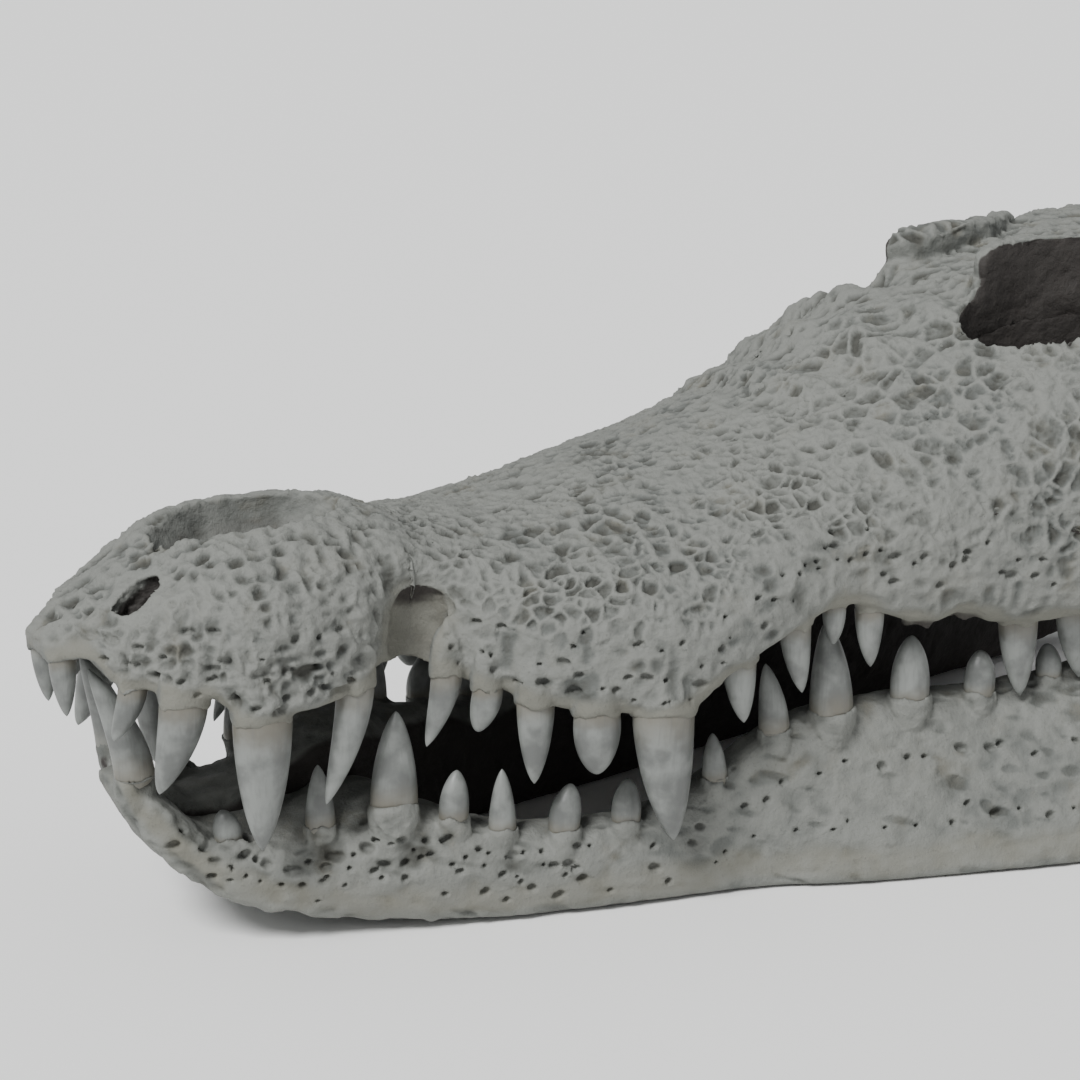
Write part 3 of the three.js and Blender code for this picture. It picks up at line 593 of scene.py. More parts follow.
def side_regions(side, sign, middle):
    """Regions of one side's bones, from the snout back; middle is where they stop short
    of, or reach over, the middle line."""
    m = middle
    return [
        ("nasal_" + side, both(
            above(
                [(93, m), (290, m), (299, 4), (275, 17), (240, 22), (180, 19), (136, 11), (93, 7)],
                sign, 90, 240, 1,
            ),
            beside([(90, 100), (130, 100), (215, 122), (300, 158), (300, 240), (90, 240)], sign, -5, 60, 2),
        )),
        ("premaxilla_" + side, above(
            [(-5, m), (104, m), (108, 9), (134, 11), (118, 22), (101, 32), (92, 40), (88, 60), (-5, 60)],
            sign, 0, 240, 3,
        )),
        ("prefrontal_" + side, both(
            above(
                [(238, 10), (299, 3), (316, 12), (324, 21), (318, 27), (286, 39), (268, 34), (238, 24)],
                sign, 90, 240, 4,
            ),
            beside([(240, 136), (330, 160), (330, 240), (240, 240)], sign, 0, 60, 5),
        )),
        ("lacrimal_" + side, both(
            above([(230, 20), (292, 30), (292, 62), (270, 60), (244, 50), (230, 36)], sign, 90, 240, 6),
            beside([(220, 118), (300, 138), (300, 240), (220, 240)], sign, 0, 90, 7),
        )),
        ("jugal_" + side, both(
            above(
                [(262, 56), (330, 56), (366, 70), (372, 84), (440, 96), (505, 112), (505, 160), (262, 160)],
                sign, 60, 178, 8,
            ),
            beside(
                [(262, 112), (330, 94), (352, 86), (505, 84), (498, 106), (468, 123), (380, 123), (372, 150),
                 (350, 178), (262, 178)],
                sign, 40, 160, 9,
            ),
        )),
        ("maxilla_" + side, above(
            [(80, m), (250, m), (250, 40), (300, 58), (352, 70), (352, 110), (80, 110)], sign, 0, 240, 10,
        )),
        ("postorbital_" + side, above(
            [(344, 30), (388, 34), (418, 38), (424, 80), (392, 130), (344, 130)], sign, 120, 240, 11,
        )),
        ("squamosal_" + side, both(
            above([(400, 40), (452, 40), (466, 30), (520, 30), (520, 130), (400, 130)], sign, 120, 240, 12),
            beside([(415, 172.5), (530, 172.5), (530, 240), (415, 240)], sign, 20, 130, 13),
        )),
        ("ectopterygoid_" + side, above(
            [(320, 64), (352, 66), (376, 56), (412, 55), (424, 60), (424, 90), (352, 106), (320, 90)],
            sign, 40, 106, 14,
        )),
        ("quadrate_" + side, above(
            [(418, 60), (470, 44), (520, 60), (545, 92), (545, 150), (418, 150)], sign, 84, 176, 15,
        )),
    ]


middle_regions = [
    ("frontal", both(
        above([(236, -40), (352, -60), (390, -60), (390, 60), (352, 60), (236, 40)], 1, 130, 240, 16),
        beside([(230, 134), (300, 158), (400, 158), (400, 240), (230, 240)], 1, -80, 80, 17),
    )),
    ("parietal", above([(385, -60), (510, -60), (510, 60), (385, 60)], 1, 173, 240, 18)),
    ("palatines", above(
        [(200, -62), (300, -62), (372, -30), (372, 30), (300, 62), (200, 62)], 1, 60, 170, 19,
    )),
    ("pterygoids", above([(340, -95), (484, -95), (484, 95), (340, 95)], 1, 40, 99, 20)),
]

cranium = together([cranium] + cranium_struts() + upper_collars)
final_holes = [
    prism(orbit(-1), 120, 230),
    prism(orbit(1), 120, 230),
    egg(462, 0, 84, 10, 11, 12),
    rod([(TABLE_REAR - 22, 0, 159, 6.5, 6.5), (TABLE_REAR + 5, 0, 159, 6.5, 6.5)]),
]
for cutter in final_holes + upper_holes:
    cranium = boolean(cranium, cutter, "DIFFERENCE")
cranium_bones, braincase = parted(
    cranium,
    side_regions("left", -1, -0.5) + side_regions("right", 1, -6) + middle_regions,
)
cranium_bones.append(("braincase", braincase))


# Old, dry, degreased bone: matt, cool pale grey, with painted shade in its pits and holes,
# painted light on its crests, and brown stain mixed with painted shade inside the mouth and
# under overhangs.  One material serves every bone; marks worked out on the mesh steer it.

class Wire:
    """A shader output that can be written in sums; each operator adds its Math node."""

    def __init__(self, tree, socket=None):
        self.tree, self.socket = tree, socket

    def add(self, kind, inputs=None, output=0, **settings):
        """A new node: its settings first, with a ramp's stops as (place, color) pairs,
        then its inputs' values or links; gives back one of its outputs."""
        node = self.tree.nodes.new("ShaderNode" + kind)
        stops = settings.pop("stops", None)
        for name, value in settings.items():
            setattr(node, name, value)
        if stops:
            first, last = node.color_ramp.elements
            first.position, last.position = stops[0][0], stops[-1][0]
            for place, color in stops[1:-1]:
                node.color_ramp.elements.new(place)
            for element, (place, color) in zip(node.color_ramp.elements, stops):
                element.color = color
        for name, value in (inputs or {}).items():
            if isinstance(value, Wire):
                self.tree.links.new(value.socket, node.inputs[name])
            else:
                node.inputs[name].default_value = value
        return Wire(self.tree, node.outputs[output])

    def maths(self, operation, first, second):
        return self.add("Math", {0: first, 1: second}, operation=operation)

    def __add__(self, other):
        return self.maths("ADD", self, other)

    def __radd__(self, other):
        return self.maths("ADD", other, self)

    def __sub__(self, other):
        return self.maths("SUBTRACT", self, other)

    def __rsub__(self, other):
        return self.maths("SUBTRACT", other, self)

    def __mul__(self, other):
        return self.maths("MULTIPLY", self, other)

    def __rmul__(self, other):
        return self.maths("MULTIPLY", other, self)

    def within(self, low, high):
        """0 below low, 1 above high and eased in between."""
        return self.add("MapRange", {0: self, 1: low, 2: high}, interpolation_type="SMOOTHSTEP")

    def blended(self, first, second):
        """Color that goes from the first to the second as this goes from 0 to 1."""
        return self.add("Mix", {0: self, 6: first, 7: second}, output=2, data_type="RGBA")


# Ridge colour: painted light that pales the crests of the relief.
RIDGE_PAINTED_LIGHT = (0.195, 0.2, 0.184, 1)
BONE_PALE = (0.138, 0.143, 0.131, 1)
BONE_GREY = (0.1, 0.106, 0.099, 1)
BONE_WARM = (0.15, 0.137, 0.102, 1)
# Pit colour: painted shade in the pits and nerve holes, also the tone of the fine dark speckle.
HOLLOW_SHADE_AND_SPECKLE_GREY = (0.047, 0.047, 0.04, 1)
BAND_PALE = (0.18, 0.172, 0.135, 1)
# Stain colour: brown stain mixed with painted shade, for the mouth, the undersides and the holes.
STAIN_AND_SHADE_BROWN = (0.021, 0.0165, 0.0148, 1)


def bone_material():
    """Matt bone: large cool and warm clouds, fine speckle, painted light on the crests and painted
    shade in the pits and holes by the red mark, brown stain mixed with painted shade inside the
    mouth, under overhangs and in holes by the green mark, smooth yellowish margins by the blue."""
    material = bpy.data.materials.new("dry bone")
    material.use_nodes = True
    tree = material.node_tree
    shader = tree.nodes["Principled BSDF"]
    start = Wire(tree)
    place = start.add("TexCoord", output=3)
    marks = start.add("Attribute", attribute_name="marks")
    split = tree.nodes.new("ShaderNodeSeparateColor")
    tree.links.new(marks.socket, split.inputs[0])
    hollow_shade, stain_and_shade, band = (Wire(tree, split.outputs[k]) for k in range(3))
    clouds = start.add("TexNoise", {"Vector": place, "Scale": 22.0, "Detail": 4.0, "Roughness": 0.55})
    patches = start.add("TexNoise", {"Vector": place, "Scale": 75.0, "Detail": 5.0, "Roughness": 0.6})
    speckle = start.add("TexNoise", {"Vector": place, "Scale": 900.0, "Detail": 3.0, "Roughness": 0.7})
    grain = start.add("TexNoise", {"Vector": place, "Scale": 2600.0, "Detail": 2.0})
    lumps = start.add("TexNoise", {"Vector": place, "Scale": 420.0, "Detail": 2.0, "Roughness": 0.5})
    color = clouds.within(0.35, 0.65).blended(BONE_GREY, BONE_PALE)
    color = (patches.within(0.52, 0.75) * 0.55).blended(color, BONE_WARM)
    color = (band * 0.6).blended(color, BAND_PALE)
    # painted light: the crests are paled where the red mark of painted hollow shade is low
    color = ((1 - hollow_shade.within(0.05, 0.4)) * 0.75).blended(color, RIDGE_PAINTED_LIGHT)
    # painted shade: pits and nerve holes darkened by the red mark
    color = (hollow_shade.within(0.25, 0.9) * 0.92).blended(color, HOLLOW_SHADE_AND_SPECKLE_GREY)
    color = (speckle.within(0.55, 0.8) * 0.35).blended(color, HOLLOW_SHADE_AND_SPECKLE_GREY)
    # green mark: brown stain mixed with painted shade, its edge mottled
    edge = stain_and_shade + (patches - 0.5) * 0.5
    color = (edge.within(0.3, 0.75) * 0.92).blended(color, STAIN_AND_SHADE_BROWN)
    tree.links.new(color.socket, shader.inputs["Base Color"])
    tree.links.new((0.62 + 0.2 * speckle).socket, shader.inputs["Roughness"])
    height = speckle * 0.5 + grain * 0.2 + lumps * (1 - 0.6 * band)
    bump = start.add("Bump", {"Height": height, "Strength": 0.75, "Distance": 0.0007})
    tree.links.new(bump.socket, shader.inputs["Normal"])
    shader.inputs["Specular IOR Level"].default_value = 0.35
    return material


dry_bone = bone_material()


def cells(points, size, salt):
    """Distances to the nearest and second nearest of one random point per cubic cell, in
    cells, and a random number of the nearest's own: a honeycomb's middles are where the
    nearest is close, its walls where both are equally far."""
    q = points / size
    base = np.floor(q).astype(np.int64)
    near, second, own = np.full(len(q), 9.0), np.full(len(q), 9.0), np.zeros(len(q))
    for step in np.ndindex(3, 3, 3):
        cell = base + np.array(step) - 1
        away = np.linalg.norm(q - cell - np.stack([lattice(cell, salt + k) for k in range(3)], -1), axis=1)
        second = np.minimum(second, np.maximum(near, away))
        own = np.where(away < near, lattice(cell, salt + 3), own)
        near = np.minimum(near, away)
    return near, second, own


def honeycomb(points, size, salt):
    """Depth from 0 to 1 of a net of rounded ridges of changing width round bowls of
    unequal depth, its cells bent by noise."""
    bent = points + 0.42 * size * np.stack([noise(points, 1.1 * size, salt + 5 + k) for k in range(3)], -1)
    near, second, own = cells(bent, size, salt)
    width = 0.42 + 0.18 * noise(points, 2.5 * size, salt + 9)
    return smooth(0, 1, (second - near) / width) * mix(0.5, 1.0, own)


def crests(points, size, salt):
    """Height from -1 to 1 of a web of winding crests: 1 where noise passes through 0."""
    return 1 - 3.2 * np.abs(noise(points, size, salt))


def holes(points, places):
    """Depth from 0 to 1 of small slanted oval holes bored from the side: rows of
    (distance, height, radius, stretch, slant)."""
    total = np.zeros(len(points))
    for x, z, radius, stretch, slant in places:
        u, v = points[:, 0] - x, points[:, 2] - z
        reach = ((u + slant * v) / stretch) ** 2 + (v - slant * u) ** 2
        total = np.maximum(total, 1 - smooth(0.25, 1.35, reach / radius**2))
    return total


HIGHEST, LEFT_OVER = 182.4, 1.4       # from this height up, what rises higher is pressed into this


def bone_piece(name, mesh, relief):
    """One bone: its body remeshed finely, eased, moved by its relief, thinned where it is
    plain, given in metres round the frame's origin, and dressed.  The relief gives how far
    each point moves outwards in millimetres, and the three marks."""
    voxel, share = SHOWN if name in SHOWN_BONES else HIDDEN
    mesh = modified(
        mesh,
        ("REMESH", {"mode": "VOXEL", "voxel_size": voxel}),
        ("SMOOTH", {"factor": 0.5, "iterations": 3}),
    )
    count = len(mesh.vertices)
    points, normals = np.empty(3 * count, np.float32), np.empty(3 * count, np.float32)
    mesh.vertices.foreach_get("co", points)
    mesh.vertices.foreach_get("normal", normals)
    points, normals = points.reshape(-1, 3).astype(float), normals.reshape(-1, 3).astype(float)
    rise, marks = relief(points, normals)
    points = points + normals * rise[:, None]
    points[:, 2] = np.maximum(points[:, 2], 0)
    over = np.maximum(points[:, 2] - HIGHEST, 0)
    points[:, 2] -= over - LEFT_OVER * np.tanh(over / LEFT_OVER)
    points[:, 0] -= MIDDLE
    mesh.vertices.foreach_set("co", (points / 1000).astype(np.float32).ravel())
    layer = mesh.attributes.new("marks", "FLOAT_COLOR", "POINT")
    colors = np.column_stack([marks, np.ones(count)]).astype(np.float32)
    layer.data.foreach_set("color", np.clip(colors, 0, 1).ravel())
    mesh.update()
    mesh = modified(mesh, ("DECIMATE", {"ratio": share}))
    mesh.shade_smooth()
    mesh.materials.clear()
    mesh.materials.append(dry_bone)
    piece = bpy.data.objects.new(name + "_bone", mesh)
    bpy.context.collection.objects.link(piece)
    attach(piece, "root")
    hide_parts(name)


def foramina(first, last, spacing, height, radius, salt):
    """Row of nerve holes of unequal size, shape and slant at uneven places along a jaw,
    at a height given as a function of the distance."""
    count = int((last - first) / spacing)
    key = np.column_stack([np.arange(count), np.zeros(count), np.zeros(count)]).astype(np.int64)
    jitter = np.stack([lattice(key, salt + k) for k in range(5)], -1)
    x = first + spacing * (np.arange(count) + 0.9 * (jitter[:, 0] - 0.5))
    return np.column_stack([
        x, height(x) + 6 * (jitter[:, 1] - 0.5), radius * (0.5 + jitter[:, 2] ** 2),
        1 + 0.9 * jitter[:, 3], 0.9 * (jitter[:, 4] - 0.5),
    ])


upper_foramina = np.concatenate([
    foramina(10, 86, 4.6, lambda x: tooth_edge_height(x) + 5, 1.7, 31),
    foramina(16, 84, 6.0, lambda x: tooth_edge_height(x) + 11, 1.2, 36),
    foramina(20, 84, 9.0, lambda x: tooth_edge_height(x) + 20, 1.0, 61),
    foramina(104, 186, 5.2, lambda x: tooth_edge_height(x) + 6, 0.95, 41),
    foramina(104, 250, 7.0, lambda x: tooth_edge_height(x) + 12, 0.9, 46),
    foramina(205, 330, 7.0, lambda x: tooth_edge_height(x) + 16, 1.2, 51),
    foramina(104, 300, 9.0, lambda x: tooth_edge_height(x) + 21, 0.9, 56),
])


def roof_over(s, y):
    """Height of the cranium's outer face at a distance and a place across: the dome and
    the table of its sections, blended."""
    side, foot, roof = widest(s), widest_height(s), roof_height(s)
    across = np.clip(np.abs(y) / side, 0, 1)
    dome = foot + (roof - foot) * (1 - across ** squareness(s)) ** (1 / squareness(s))
    table = roof - (roof - foot) * np.clip((np.abs(y) - flat_roof(s)) / (side - flat_roof(s)), 0, 1)
    return mix(dome, table, table_blend(s))


def socket_reach(s, y):
    """1 on the wall of an eye socket, less inside it and more outside."""
    along = s - ORBIT_PLACE
    across = np.abs(y) - ORBIT_OUT - ORBIT_SLANT * along
    return np.hypot(along / ORBIT_HALF_LENGTH, across / ORBIT_HALF_WIDTH)


def near_to(points, x, y, z, low, high):
    """1 within the low radius of a place and its mirror image, 0 past the high one."""
    away = np.linalg.norm((points - (x, 0, z)) * (1, 0, 1), axis=1) ** 2 + (np.abs(points[:, 1]) - y) ** 2
    return 1 - smooth(low, high, np.sqrt(away))


# Row of low scallops on the ridges before the eye sockets: how high, how far apart, where
# one stands, and how much further down the side they reach on the right.
SCALLOP_RISE, SCALLOP_STEP, SCALLOP_PLACE, SCALLOP_WIDER = 1.9, 21.3, 264, 32


def cranium_relief(points, normals):
    """Relief of the upper skull: slow lumps everywhere, stronger on the tip and on the
    scalloped ridge before the eye; a honeycomb of pits on its outer face, coarser behind; a smooth
    streaked margin and nerve holes over the teeth; painted shade in the pits and holes; and brown
    stain mixed with painted shade on the palate, undersides, mouth, eye sockets, nose and the notch."""
    s, y, z = points.T
    out = np.column_stack([0 * s, y, z - (0.5 * (roof_height(s) + palate_height(s)) - 12)])
    out /= np.maximum(np.linalg.norm(out, axis=1), 1e-6)[:, None]
    outer = smooth(0.0, 0.4, np.einsum("ij,ij->i", out, normals))
    depth = roof_over(s, y) - z
    from_side = widest(s) - np.abs(y)
    hidden = 1 - outer * smooth(16, 8, from_side)
    inside = smooth(280, 290, s) * np.maximum.reduce([
        smooth(2, 7, depth) * smooth(108, 120, z) * hidden,
        smooth(1.16, 1.06, socket_reach(s, y)) * smooth(0.75, 0.4, normals[:, 2]) * smooth(120, 130, z),
        smooth(14, 20, from_side) * smooth(122, 112, z),
    ])
    notch = near_to(points, 98, 33, 88, 8, 18)
    over_teeth = z - tooth_edge_height(s)
    margin = np.maximum(1 - smooth(1.5, 6, over_teeth + 3.0 * noise(points, 9, 5)), notch)
    from_nostril = np.linalg.norm((points - (62, 0, 113)) * (0.75, 1, 1), axis=1)
    nose = smooth(27, 16, from_nostril) * smooth(2, 8, depth)
    top = outer * (1 - margin) * (1 - inside) * (1 - smooth(0, 0.5, nose))
    tip = smooth(108, 76, s)
    ridge = smooth(225, 260, s) * smooth(300, 280, s) * smooth(34, 20, np.abs(y)) * smooth(14, 4, depth)
    fine = honeycomb(points * (0.85, 1, 1), 4.4, 101)
    coarse = honeycomb(points * (0.85, 1, 1), 7.0, 121)
    rear = smooth(215, 280, s + 10 * noise(points, 30, 6))
    pits = mix(fine, coarse, np.clip(0.7 * rear + 0.3 + 0.5 * noise(points, 14, 7), 0, 1))
    web = 0.55 * crests(points, 6, 8) + 0.7 * crests(points, 3.4, 9) + 0.4 * noise(points, 1.9, 10)
    low = smooth(30, 12, over_teeth + 6 * noise(points, 15, 16)) * (1 - tip)
    strength = (1.0 + 0.25 * noise(points, 20, 3)) * (1 - tip) * mix(1.0, 0.2, low)
    strength = strength * mix(1.0, 0.85, rear)
    around_hole = near_to(points, 25.6, 18, 101.5, 7, 13)
    winding = np.maximum(tip * (1 - around_hole), 0.3 * rear * (1 - 0.6 * low))
    grains = honeycomb(points, 2.6, 151)
    carving = 0.8 + 0.2 * strength - 2.0 * strength * pits - 0.5 * grains * (1 - 0.7 * low)
    carving = carving + winding * (web - 0.2) + low * (0.5 * crests(points, 4.6, 17) - 0.3)
    detail = top * carving
    detail = detail + 0.4 * noise(points, 5.5, 15) + 0.3 * noise(points, 2.6, 4)
    rise = 0.7 * noise(points, 19, 1) + 0.6 * noise(points, 9, 2)
    rise = rise + ridge * (0.8 + 3.2 * noise(points, 15, 12))
    rise = rise - 2.0 * near_to(points, 99, 40, 99, 3, 14)
    reach = np.abs(y) - SCALLOP_WIDER * (y > 0)
    crown = smooth(222, 238, s) * smooth(304, 294, s) * smooth(5, 12, np.abs(y)) * smooth(30, 22, reach)
    scallops = np.cos(2 * np.pi * (s - SCALLOP_PLACE) / SCALLOP_STEP)
    rise = rise + SCALLOP_RISE * crown * smooth(12, 3, depth) * scallops
    streaks = noise(points * (0.12, 1, 1), 1.6, 13)
    bored = holes(points, upper_foramina) * smooth(0.15, 0.5, np.abs(normals[:, 1])) * outer
    bored = bored * smooth(1.5, 4, over_teeth) * (1 - notch)
    rise = rise + mix(detail, 0.3 * detail + 0.3 * streaks, margin) - 2.2 * bored
    # Green mark: brown stain mixed with painted shade on faces turned down or into the mouth, inside the
    # skull and eye sockets, in the nostril, holes, empty sockets and the notch.
    below = smooth(0.1, 0.7, -normals[:, 2]) * smooth(4, 14, over_teeth)
    inward = smooth(0.1, 0.7, -np.sign(y) * normals[:, 1]) * smooth(4, 12, over_teeth)
    inward = inward * (z < palate_height(s) + 4)
    hole = near_to(points, 25, 18, 100, 9, 12) * smooth(1.5, 4, depth)
    empty = np.maximum(near_to(points, 249, 66.5, 77, 4, 10), near_to(points, 266, 67, 78, 4, 10))
    stain_and_shade = np.maximum.reduce([below, inward, inside, 0.75 * hole, 0.5 * nose, 0.65 * empty, 0.4 * notch])
    # Red mark: painted shade, darker the deeper the relief's pits and the nerve holes.
    painted_hollow_shade = np.maximum(smooth(0.9, -1.7, detail * (1 - margin)), 0.12 * bored)
    return rise, np.column_stack([painted_hollow_shade, stain_and_shade, margin * outer])


for name, mesh in cranium_bones:
    bone_piece(name, mesh, cranium_relief)


# The teeth: dentine cones capped with thin enamel, smooth and faintly ribbed, a little
# paler and bluer than the bone.

TOOTH_PALE = (0.195, 0.205, 0.194, 1)
TOOTH_GREY = (0.105, 0.11, 0.105, 1)
TOOTH_NECK = (0.14, 0.128, 0.10, 1)


def tooth_material():
    """Satin enamel: pale towards the tip, greyer in clouds, brownish at the neck, with
    faint ribs that run along the crown."""
    material = bpy.data.materials.new("tooth")
    material.use_nodes = True
    tree = material.node_tree
    shader = tree.nodes["Principled BSDF"]
    start = Wire(tree)
    place = start.add("TexCoord", output=3)
    up = start.add("Attribute", output=2, attribute_name="crown")
    stretch = start.add("Mapping", {"Vector": place, "Scale": (900.0, 900.0, 90.0)})
    ribs = start.add("TexNoise", {"Vector": stretch, "Scale": 1.0, "Detail": 3.0})
    clouds = start.add("TexNoise", {"Vector": place, "Scale": 120.0, "Detail": 4.0})
    color = clouds.within(0.35, 0.65).blended(TOOTH_GREY, TOOTH_PALE)
    color = ((1 - (up + (clouds - 0.5) * 0.25).within(0.0, 0.3)) * 0.75).blended(color, TOOTH_NECK)
    color = (ribs.within(0.5, 0.72) * 0.3).blended(color, TOOTH_GREY)
    tree.links.new(color.socket, shader.inputs["Base Color"])
    tree.links.new((0.3 + 0.25 * clouds).socket, shader.inputs["Roughness"])
    bump = start.add("Bump", {"Height": ribs, "Strength": 0.35, "Distance": 0.0004})
    tree.links.new(bump.socket, shader.inputs["Normal"])
    return material


enamel = tooth_material()


def tooth(row, sign, height, way):
    """One tooth as rings along its root and crown: the radius falls as a rounded cone,
    the axis bends with the square of the length, and a keel runs down front and back."""
    x, y, length, width, back, outwards = row
    root = 4.0 / length
    crown = 1 - (1 - np.linspace(0, 1, 24)) ** 1.4
    v = np.concatenate([np.linspace(-root, 0, 4, endpoint=False), crown])[:, None]
    turn = np.linspace(0, 2 * np.pi, 28, endpoint=False)[None, :]
    rise = np.clip(v, 0, 1)
    blunt = smooth(2.0, 1.4, length / width)
    sharp = np.maximum(1 - rise ** 1.85, 0) ** 0.68
    round_top = (1 + 0.1 * np.sin(np.pi * rise)) * np.maximum(1 - rise ** 2.6, 0) ** 0.55
    radius = 0.5 * width * mix(sharp, round_top, blunt)
    radius = radius * (1 + 0.35 * np.minimum(v, 0) / root)
    radius = np.maximum(radius, 0.02 * width) * (1 + 0.05 * np.abs(np.cos(turn)) ** 10)
    bend = rise ** 1.6
    points = np.stack([
        x + back * bend + radius * np.cos(turn),
        sign * (y + outwards * bend + 0.88 * radius * np.sin(turn)),
        height + way * length * v + 0 * turn,
    ], -1)
    return shell(points), np.append(np.repeat(v[:, 0], 28), [v[0, 0], v[-1, 0]])


def teeth_piece(name, node, rows, sign, edge, way):
    """All teeth of one bone as one piece, each in its own place along the edge."""
    made = [tooth(row, sign, edge(row[0]), way) for row in rows]
    mesh = together([body for body, crown in made])
    points, _ = corners_and_triangles(mesh)
    points[:, 0] -= MIDDLE
    mesh.vertices.foreach_set("co", (points / 1000).astype(np.float32).ravel())
    layer = mesh.attributes.new("crown", "FLOAT", "POINT")
    layer.data.foreach_set("value", np.concatenate([crown for body, crown in made]).astype(np.float32))
    mesh.shade_smooth()
    mesh.materials.append(enamel)
    mesh.update()
    piece = bpy.data.objects.new(name, mesh)
    bpy.context.collection.objects.link(piece)
    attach(piece, "root")
    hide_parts(node)


for side, sign in (("left", -1), ("right", 1)):
    teeth_piece(
        "front_upper_teeth_" + side, "premaxilla_" + side, PREMAXILLARY_TEETH, sign, tooth_edge_height, DOWN,
    )
    teeth_piece("upper_teeth_" + side, "maxilla_" + side, MAXILLARY_TEETH, sign, tooth_edge_height, DOWN)

# ------------------------------------------------------------------------- lower jaw
# Each half is a long bar of bone, thick and joined to the other in front, deep and thin
# behind, where a window opens through its side.  It lies on its flat underside.

jaw_outside = curve([
    (17, 4), (19, 11), (23, 18), (32, 23.5), (44, 28), (71, 36), (91, 41), (108, 45),
    (140, 51), (160, 54.5), (190, 58), (226, 64), (252, 70), (278, 76), (303, 83), (350, 94),
    (400, 106), (450, 117), (500, 124), (540, 124), (572, 117), (602, 105),
])
jaw_inside = curve([
    (17, -4), (22, -9), (60, -12), (88, -8), (102, 6), (122, 22), (160, 33), (220, 45),
    (300, 58), (350, 69), (400, 84), (450, 96), (500, 98), (560, 98), (600.5, 97),
])
left_jaw_top = curve([
    (17, 50), (22, 51.5), (31, 44), (44, 32), (56, 31), (71, 33.5), (91, 38.5), (104, 34),
    (122, 27.5), (140, 25.5), (160, 25.5), (175, 29), (190, 37), (204, 47), (228, 51.5),
    (252, 52), (278, 50.5), (303, 53), (350, 65), (385, 79), (410, 85), (445, 86),
    (480, 83), (523, 84), (541, 87), (566, 77), (586, 83), (602, 95),
])
jaw_bottom = curve([
    (17, 47), (19, 42), (22.5, 35), (28, 28), (38, 18.5), (50, 11.5), (70, 5.5), (98, 1.8),
    (135, 0), (420, 0), (455, 4), (500, 17), (545, 38), (580, 60), (602, 78),
])
right_rise = curve([
    (17, 0), (60, 7.5), (100, 12.5), (128, 16), (150, 13), (180, 9), (220, 3), (270, 0), (602, 0),
])
jaw_lean = curve([(17, 0), (190, 0), (300, 12), (400, 8), (520, 0), (602, 0)])
jaw_flare = curve([(17, 0), (150, 0), (200, 3), (233, 8), (300, 6), (400, 3), (520, 0), (602, 0)])
JAW_FRONT, JAW_REAR = 17, 600.5
DENTARY_TEETH = (
    (23, 14, 31, 11, -10.5, -4), (46, 24, 9, 7.5, -1.5, 0), (71, 30.5, 18, 8.5, -0.5, 0),
    (91, 36.5, 27, 13.5, 1, 0), (108, 40, 14, 8.5, 1, 0), (122, 43, 18, 8, 0, 0),
    (140, 47, 13.5, 9, 2, 0), (159, 50, 13, 8.5, 0.5, 0), (187, 53.5, 14, 7.5, -1, 0),
    (206, 56, 21, 9.5, -3.5, 0), (225, 58, 28, 13.5, -2.5, 0), (252, 60.5, 19.5, 12, 0, 0),
    (277, 62.5, 13.5, 9.5, 0, 0), (302, 65, 10.5, 8, -1, 0), (324, 69, 8, 7, 0, 0),
)
EMPTY_LOWER_SOCKETS = ((51, 25, 7),)


def tip_back(s, sign):
    """The right half's tip stands a little behind the left's."""
    return 5 * smooth(60, 13, s) if sign > 0 else 0 * s


def jaw_top(s, sign):
    return left_jaw_top(s) + (right_rise(s) if sign > 0 else 0)


def jaw_half(sign):
    """One half of the jaw: squarish sections along the bar that lean outwards where it is
    deep, with the window cut through, the flat face where the halves meet, and collars
    for the teeth."""
    s = np.concatenate([np.linspace(JAW_FRONT, 30, 14, endpoint=False), np.linspace(30, JAW_REAR, 200)])
    s = s[:, None]
    turn = np.linspace(0, 2 * np.pi, 44, endpoint=False)[None, :]
    cosine, sine = np.cos(turn), np.sin(turn)
    outside, inside, top, bottom = jaw_outside(s), jaw_inside(s), jaw_top(s, sign), jaw_bottom(s)
    s = s + tip_back(s, sign)
    power = np.where(sine < 0, 2 / 4.5, 2 / 2.7)
    z = 0.5 * (top + bottom) + 0.5 * (top - bottom) * np.sign(sine) * np.abs(sine) ** power
    y = 0.5 * (outside + inside) + 0.5 * (outside - inside) * np.sign(cosine) * np.abs(cosine) ** power
    level = (z - bottom) / (top - bottom)
    y = y + jaw_lean(s) * mix(0.6, -0.9, level) + jaw_flare(s) * (1 - level) ** 2 * (cosine > 0)
    half = shell(np.stack([np.broadcast_to(s, y.shape), sign * y, z], -1))
    window = np.column_stack([410 + 24 * cosine[0], 45 + 10.5 * sine[0]])
    half = boolean(half, prism(window, sign * 50, sign * 150, across=True), "DIFFERENCE")
    middle = sign * MIDDLE_GAP / 2
    far_side = prism([(0, -sign * 60), (160, -sign * 60), (160, middle), (0, middle)], -10, 120)
    half = boolean(half, far_side, "DIFFERENCE")
    parts = [half]
    for x, y, length, width, *bend in DENTARY_TEETH:
        parts.append(collar(x + tip_back(x, sign), y, width, sign, jaw_top(x, sign), UP))
    for x, y, width in EMPTY_LOWER_SOCKETS:
        parts.append(collar(x, y, width, sign, jaw_top(x, sign), UP))
    half = together(parts)
    for x, y, width in EMPTY_LOWER_SOCKETS:
        half = boolean(half, socket_hole(x, y, width, sign, jaw_top(x, sign), UP), "DIFFERENCE")
    return half


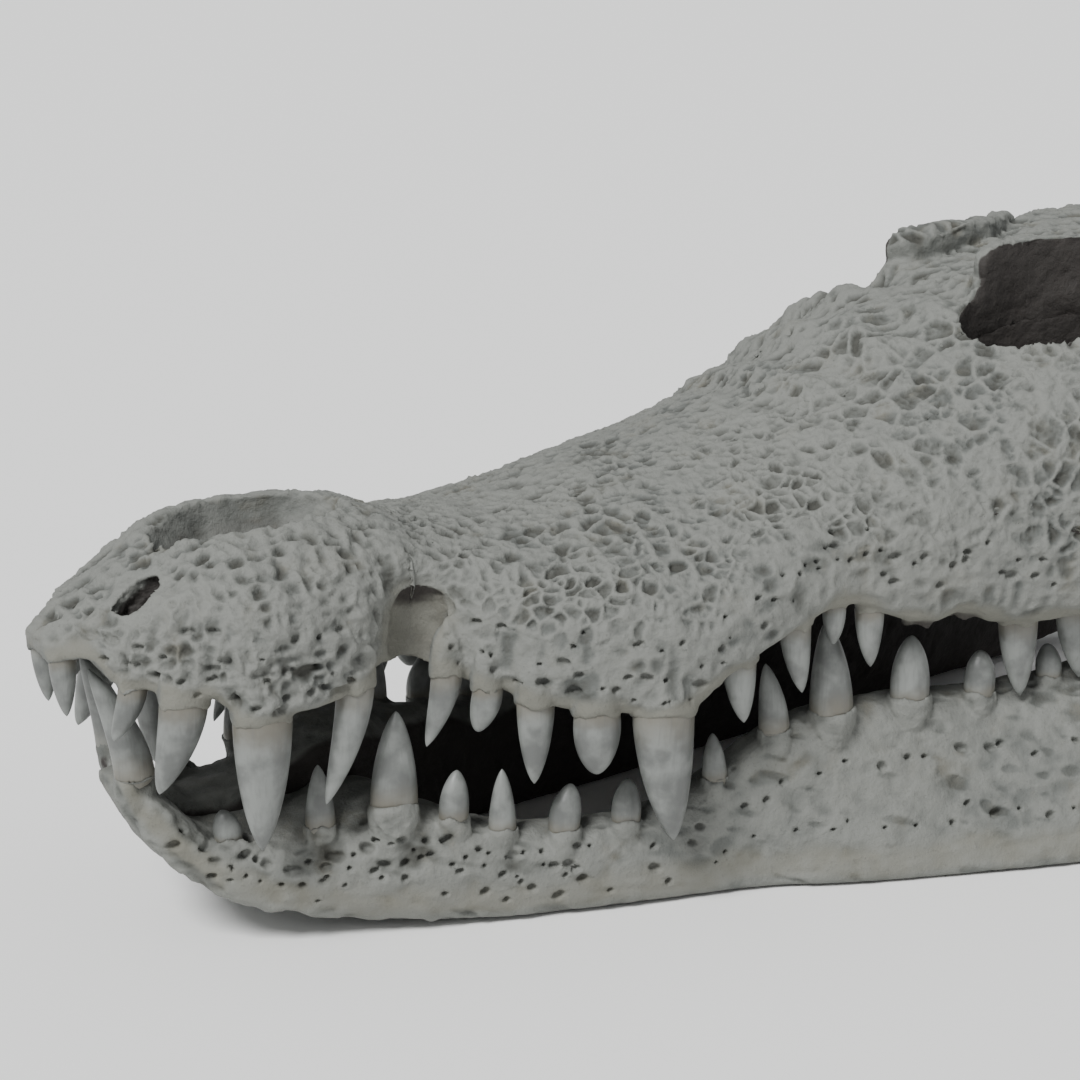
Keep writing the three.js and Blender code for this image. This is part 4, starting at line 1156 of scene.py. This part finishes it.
def jaw_regions(side, sign):
    """Regions of one half's bones: the toothed dentary, the angular below the window and
    the surangular above it; what is left is the articular, with the joint."""
    return [
        ("dentary_" + side, beside(
            [(0, -10), (340, -10), (352, 18), (392, 40), (392, 50), (346, 70), (334, 120), (0, 120)],
            sign, -20, 160, 51,
        )),
        ("angular_" + side, beside(
            [(330, -10), (540, -10), (568, 48), (500, 34), (430, 44), (390, 44), (340, 12)],
            sign, 40, 160, 52,
        )),
        ("surangular_" + side, beside(
            [(330, -10), (496, -10), (500, 60), (516, 72), (500, 120), (330, 120)], sign, 40, 160, 53,
        )),
    ]


lower_foramina = np.concatenate([
    foramina(34, 150, 3.6, lambda x: mix(jaw_bottom(x), left_jaw_top(x), 0.72), 1.15, 61),
    foramina(40, 150, 4.6, lambda x: mix(jaw_bottom(x), left_jaw_top(x), 0.56), 0.95, 66),
    foramina(30, 330, 9.0, lambda x: mix(jaw_bottom(x), left_jaw_top(x), 0.36), 1.0, 76),
    foramina(165, 330, 9.0, lambda x: mix(jaw_bottom(x), left_jaw_top(x), 0.66), 1.1, 71),
])


def jaw_relief(points, normals):
    """Relief of the lower jaw: lumps and short slanting grooves on the chin, long shallow
    slits along the bar, a honeycomb of pits behind, nerve holes under the teeth, and a
    streaked smooth band along the lower edge."""
    s, y, z = points.T
    side = np.sign(y)
    outer = smooth(0.1, 0.5, side * normals[:, 1] + 0.3 * np.maximum(-normals[:, 2], 0))
    low = z - jaw_bottom(s) + 2.0 * noise(points, 12, 71)
    band = smooth(1, 5, low) * smooth(15, 9, low)
    chin, rear = smooth(150, 60, s), smooth(290, 360, s)
    pits = honeycomb(points * (0.6, 1, 1), 6.0, 141)
    slits = smooth(0.3, 0.8, noise(points * (0.3, 1, 1) + 0.25 * points[:, [2, 1, 0]], 2.6, 77))
    lumps = noise(points * (0.75, 1, 1.1), 6.0, 84) + 0.6 * noise(points, 3.0, 85)
    strength = mix(0.2, 1.0, rear) * (1 + 0.4 * noise(points, 24, 79))
    bored = holes(points, lower_foramina) * outer * (1 - rear)
    face = outer * (1 - 0.8 * band * (1 - rear))
    detail = face * (0.3 - 1.6 * strength * pits - 0.6 * (1 - rear) * slits + 1.2 * chin * lumps)
    detail = detail + (0.4 * noise(points, 5.5, 88) + 0.3 * noise(points, 2.8, 83)) * (1 - 0.5 * band)
    rise = 0.7 * noise(points, 22, 81) + 0.5 * noise(points, 9, 82) + detail - 2.3 * bored
    rise = rise + 0.25 * band * outer * noise(points * (0.1, 1, 1), 1.6, 86)
    rise = rise * smooth(0, 2.5, z)
    top = mix(left_jaw_top(s), left_jaw_top(s) + right_rise(s), 0.5 + 0.5 * side)
    # Green mark: brown stain mixed with painted shade on each half's inner face below its top, fading out
    # behind.
    inner = smooth(0.0, 0.6, -side * normals[:, 1]) * smooth(0, 7, top - z + 3 * noise(points, 14, 87))
    # Red mark: painted shade, darker the deeper the relief's pits and the nerve holes.
    painted_hollow_shade = np.maximum(smooth(0.9, -2.0, detail), 0.12 * bored)
    return rise, np.column_stack([painted_hollow_shade, 0.9 * inner * smooth(480, 430, s), band * outer * (1 - rear)])


for side, sign in (("left", -1), ("right", 1)):
    bones, articular = parted(jaw_half(sign), jaw_regions(side, sign))
    for name, mesh in bones + [("articular_" + side, articular)]:
        bone_piece(name, mesh, jaw_relief)
    standing = [(x + tip_back(x, sign), *row) for x, *row in DENTARY_TEETH]
    teeth_piece("lower_teeth_" + side, "dentary_" + side, standing, sign, lambda x: jaw_top(x, sign), UP)
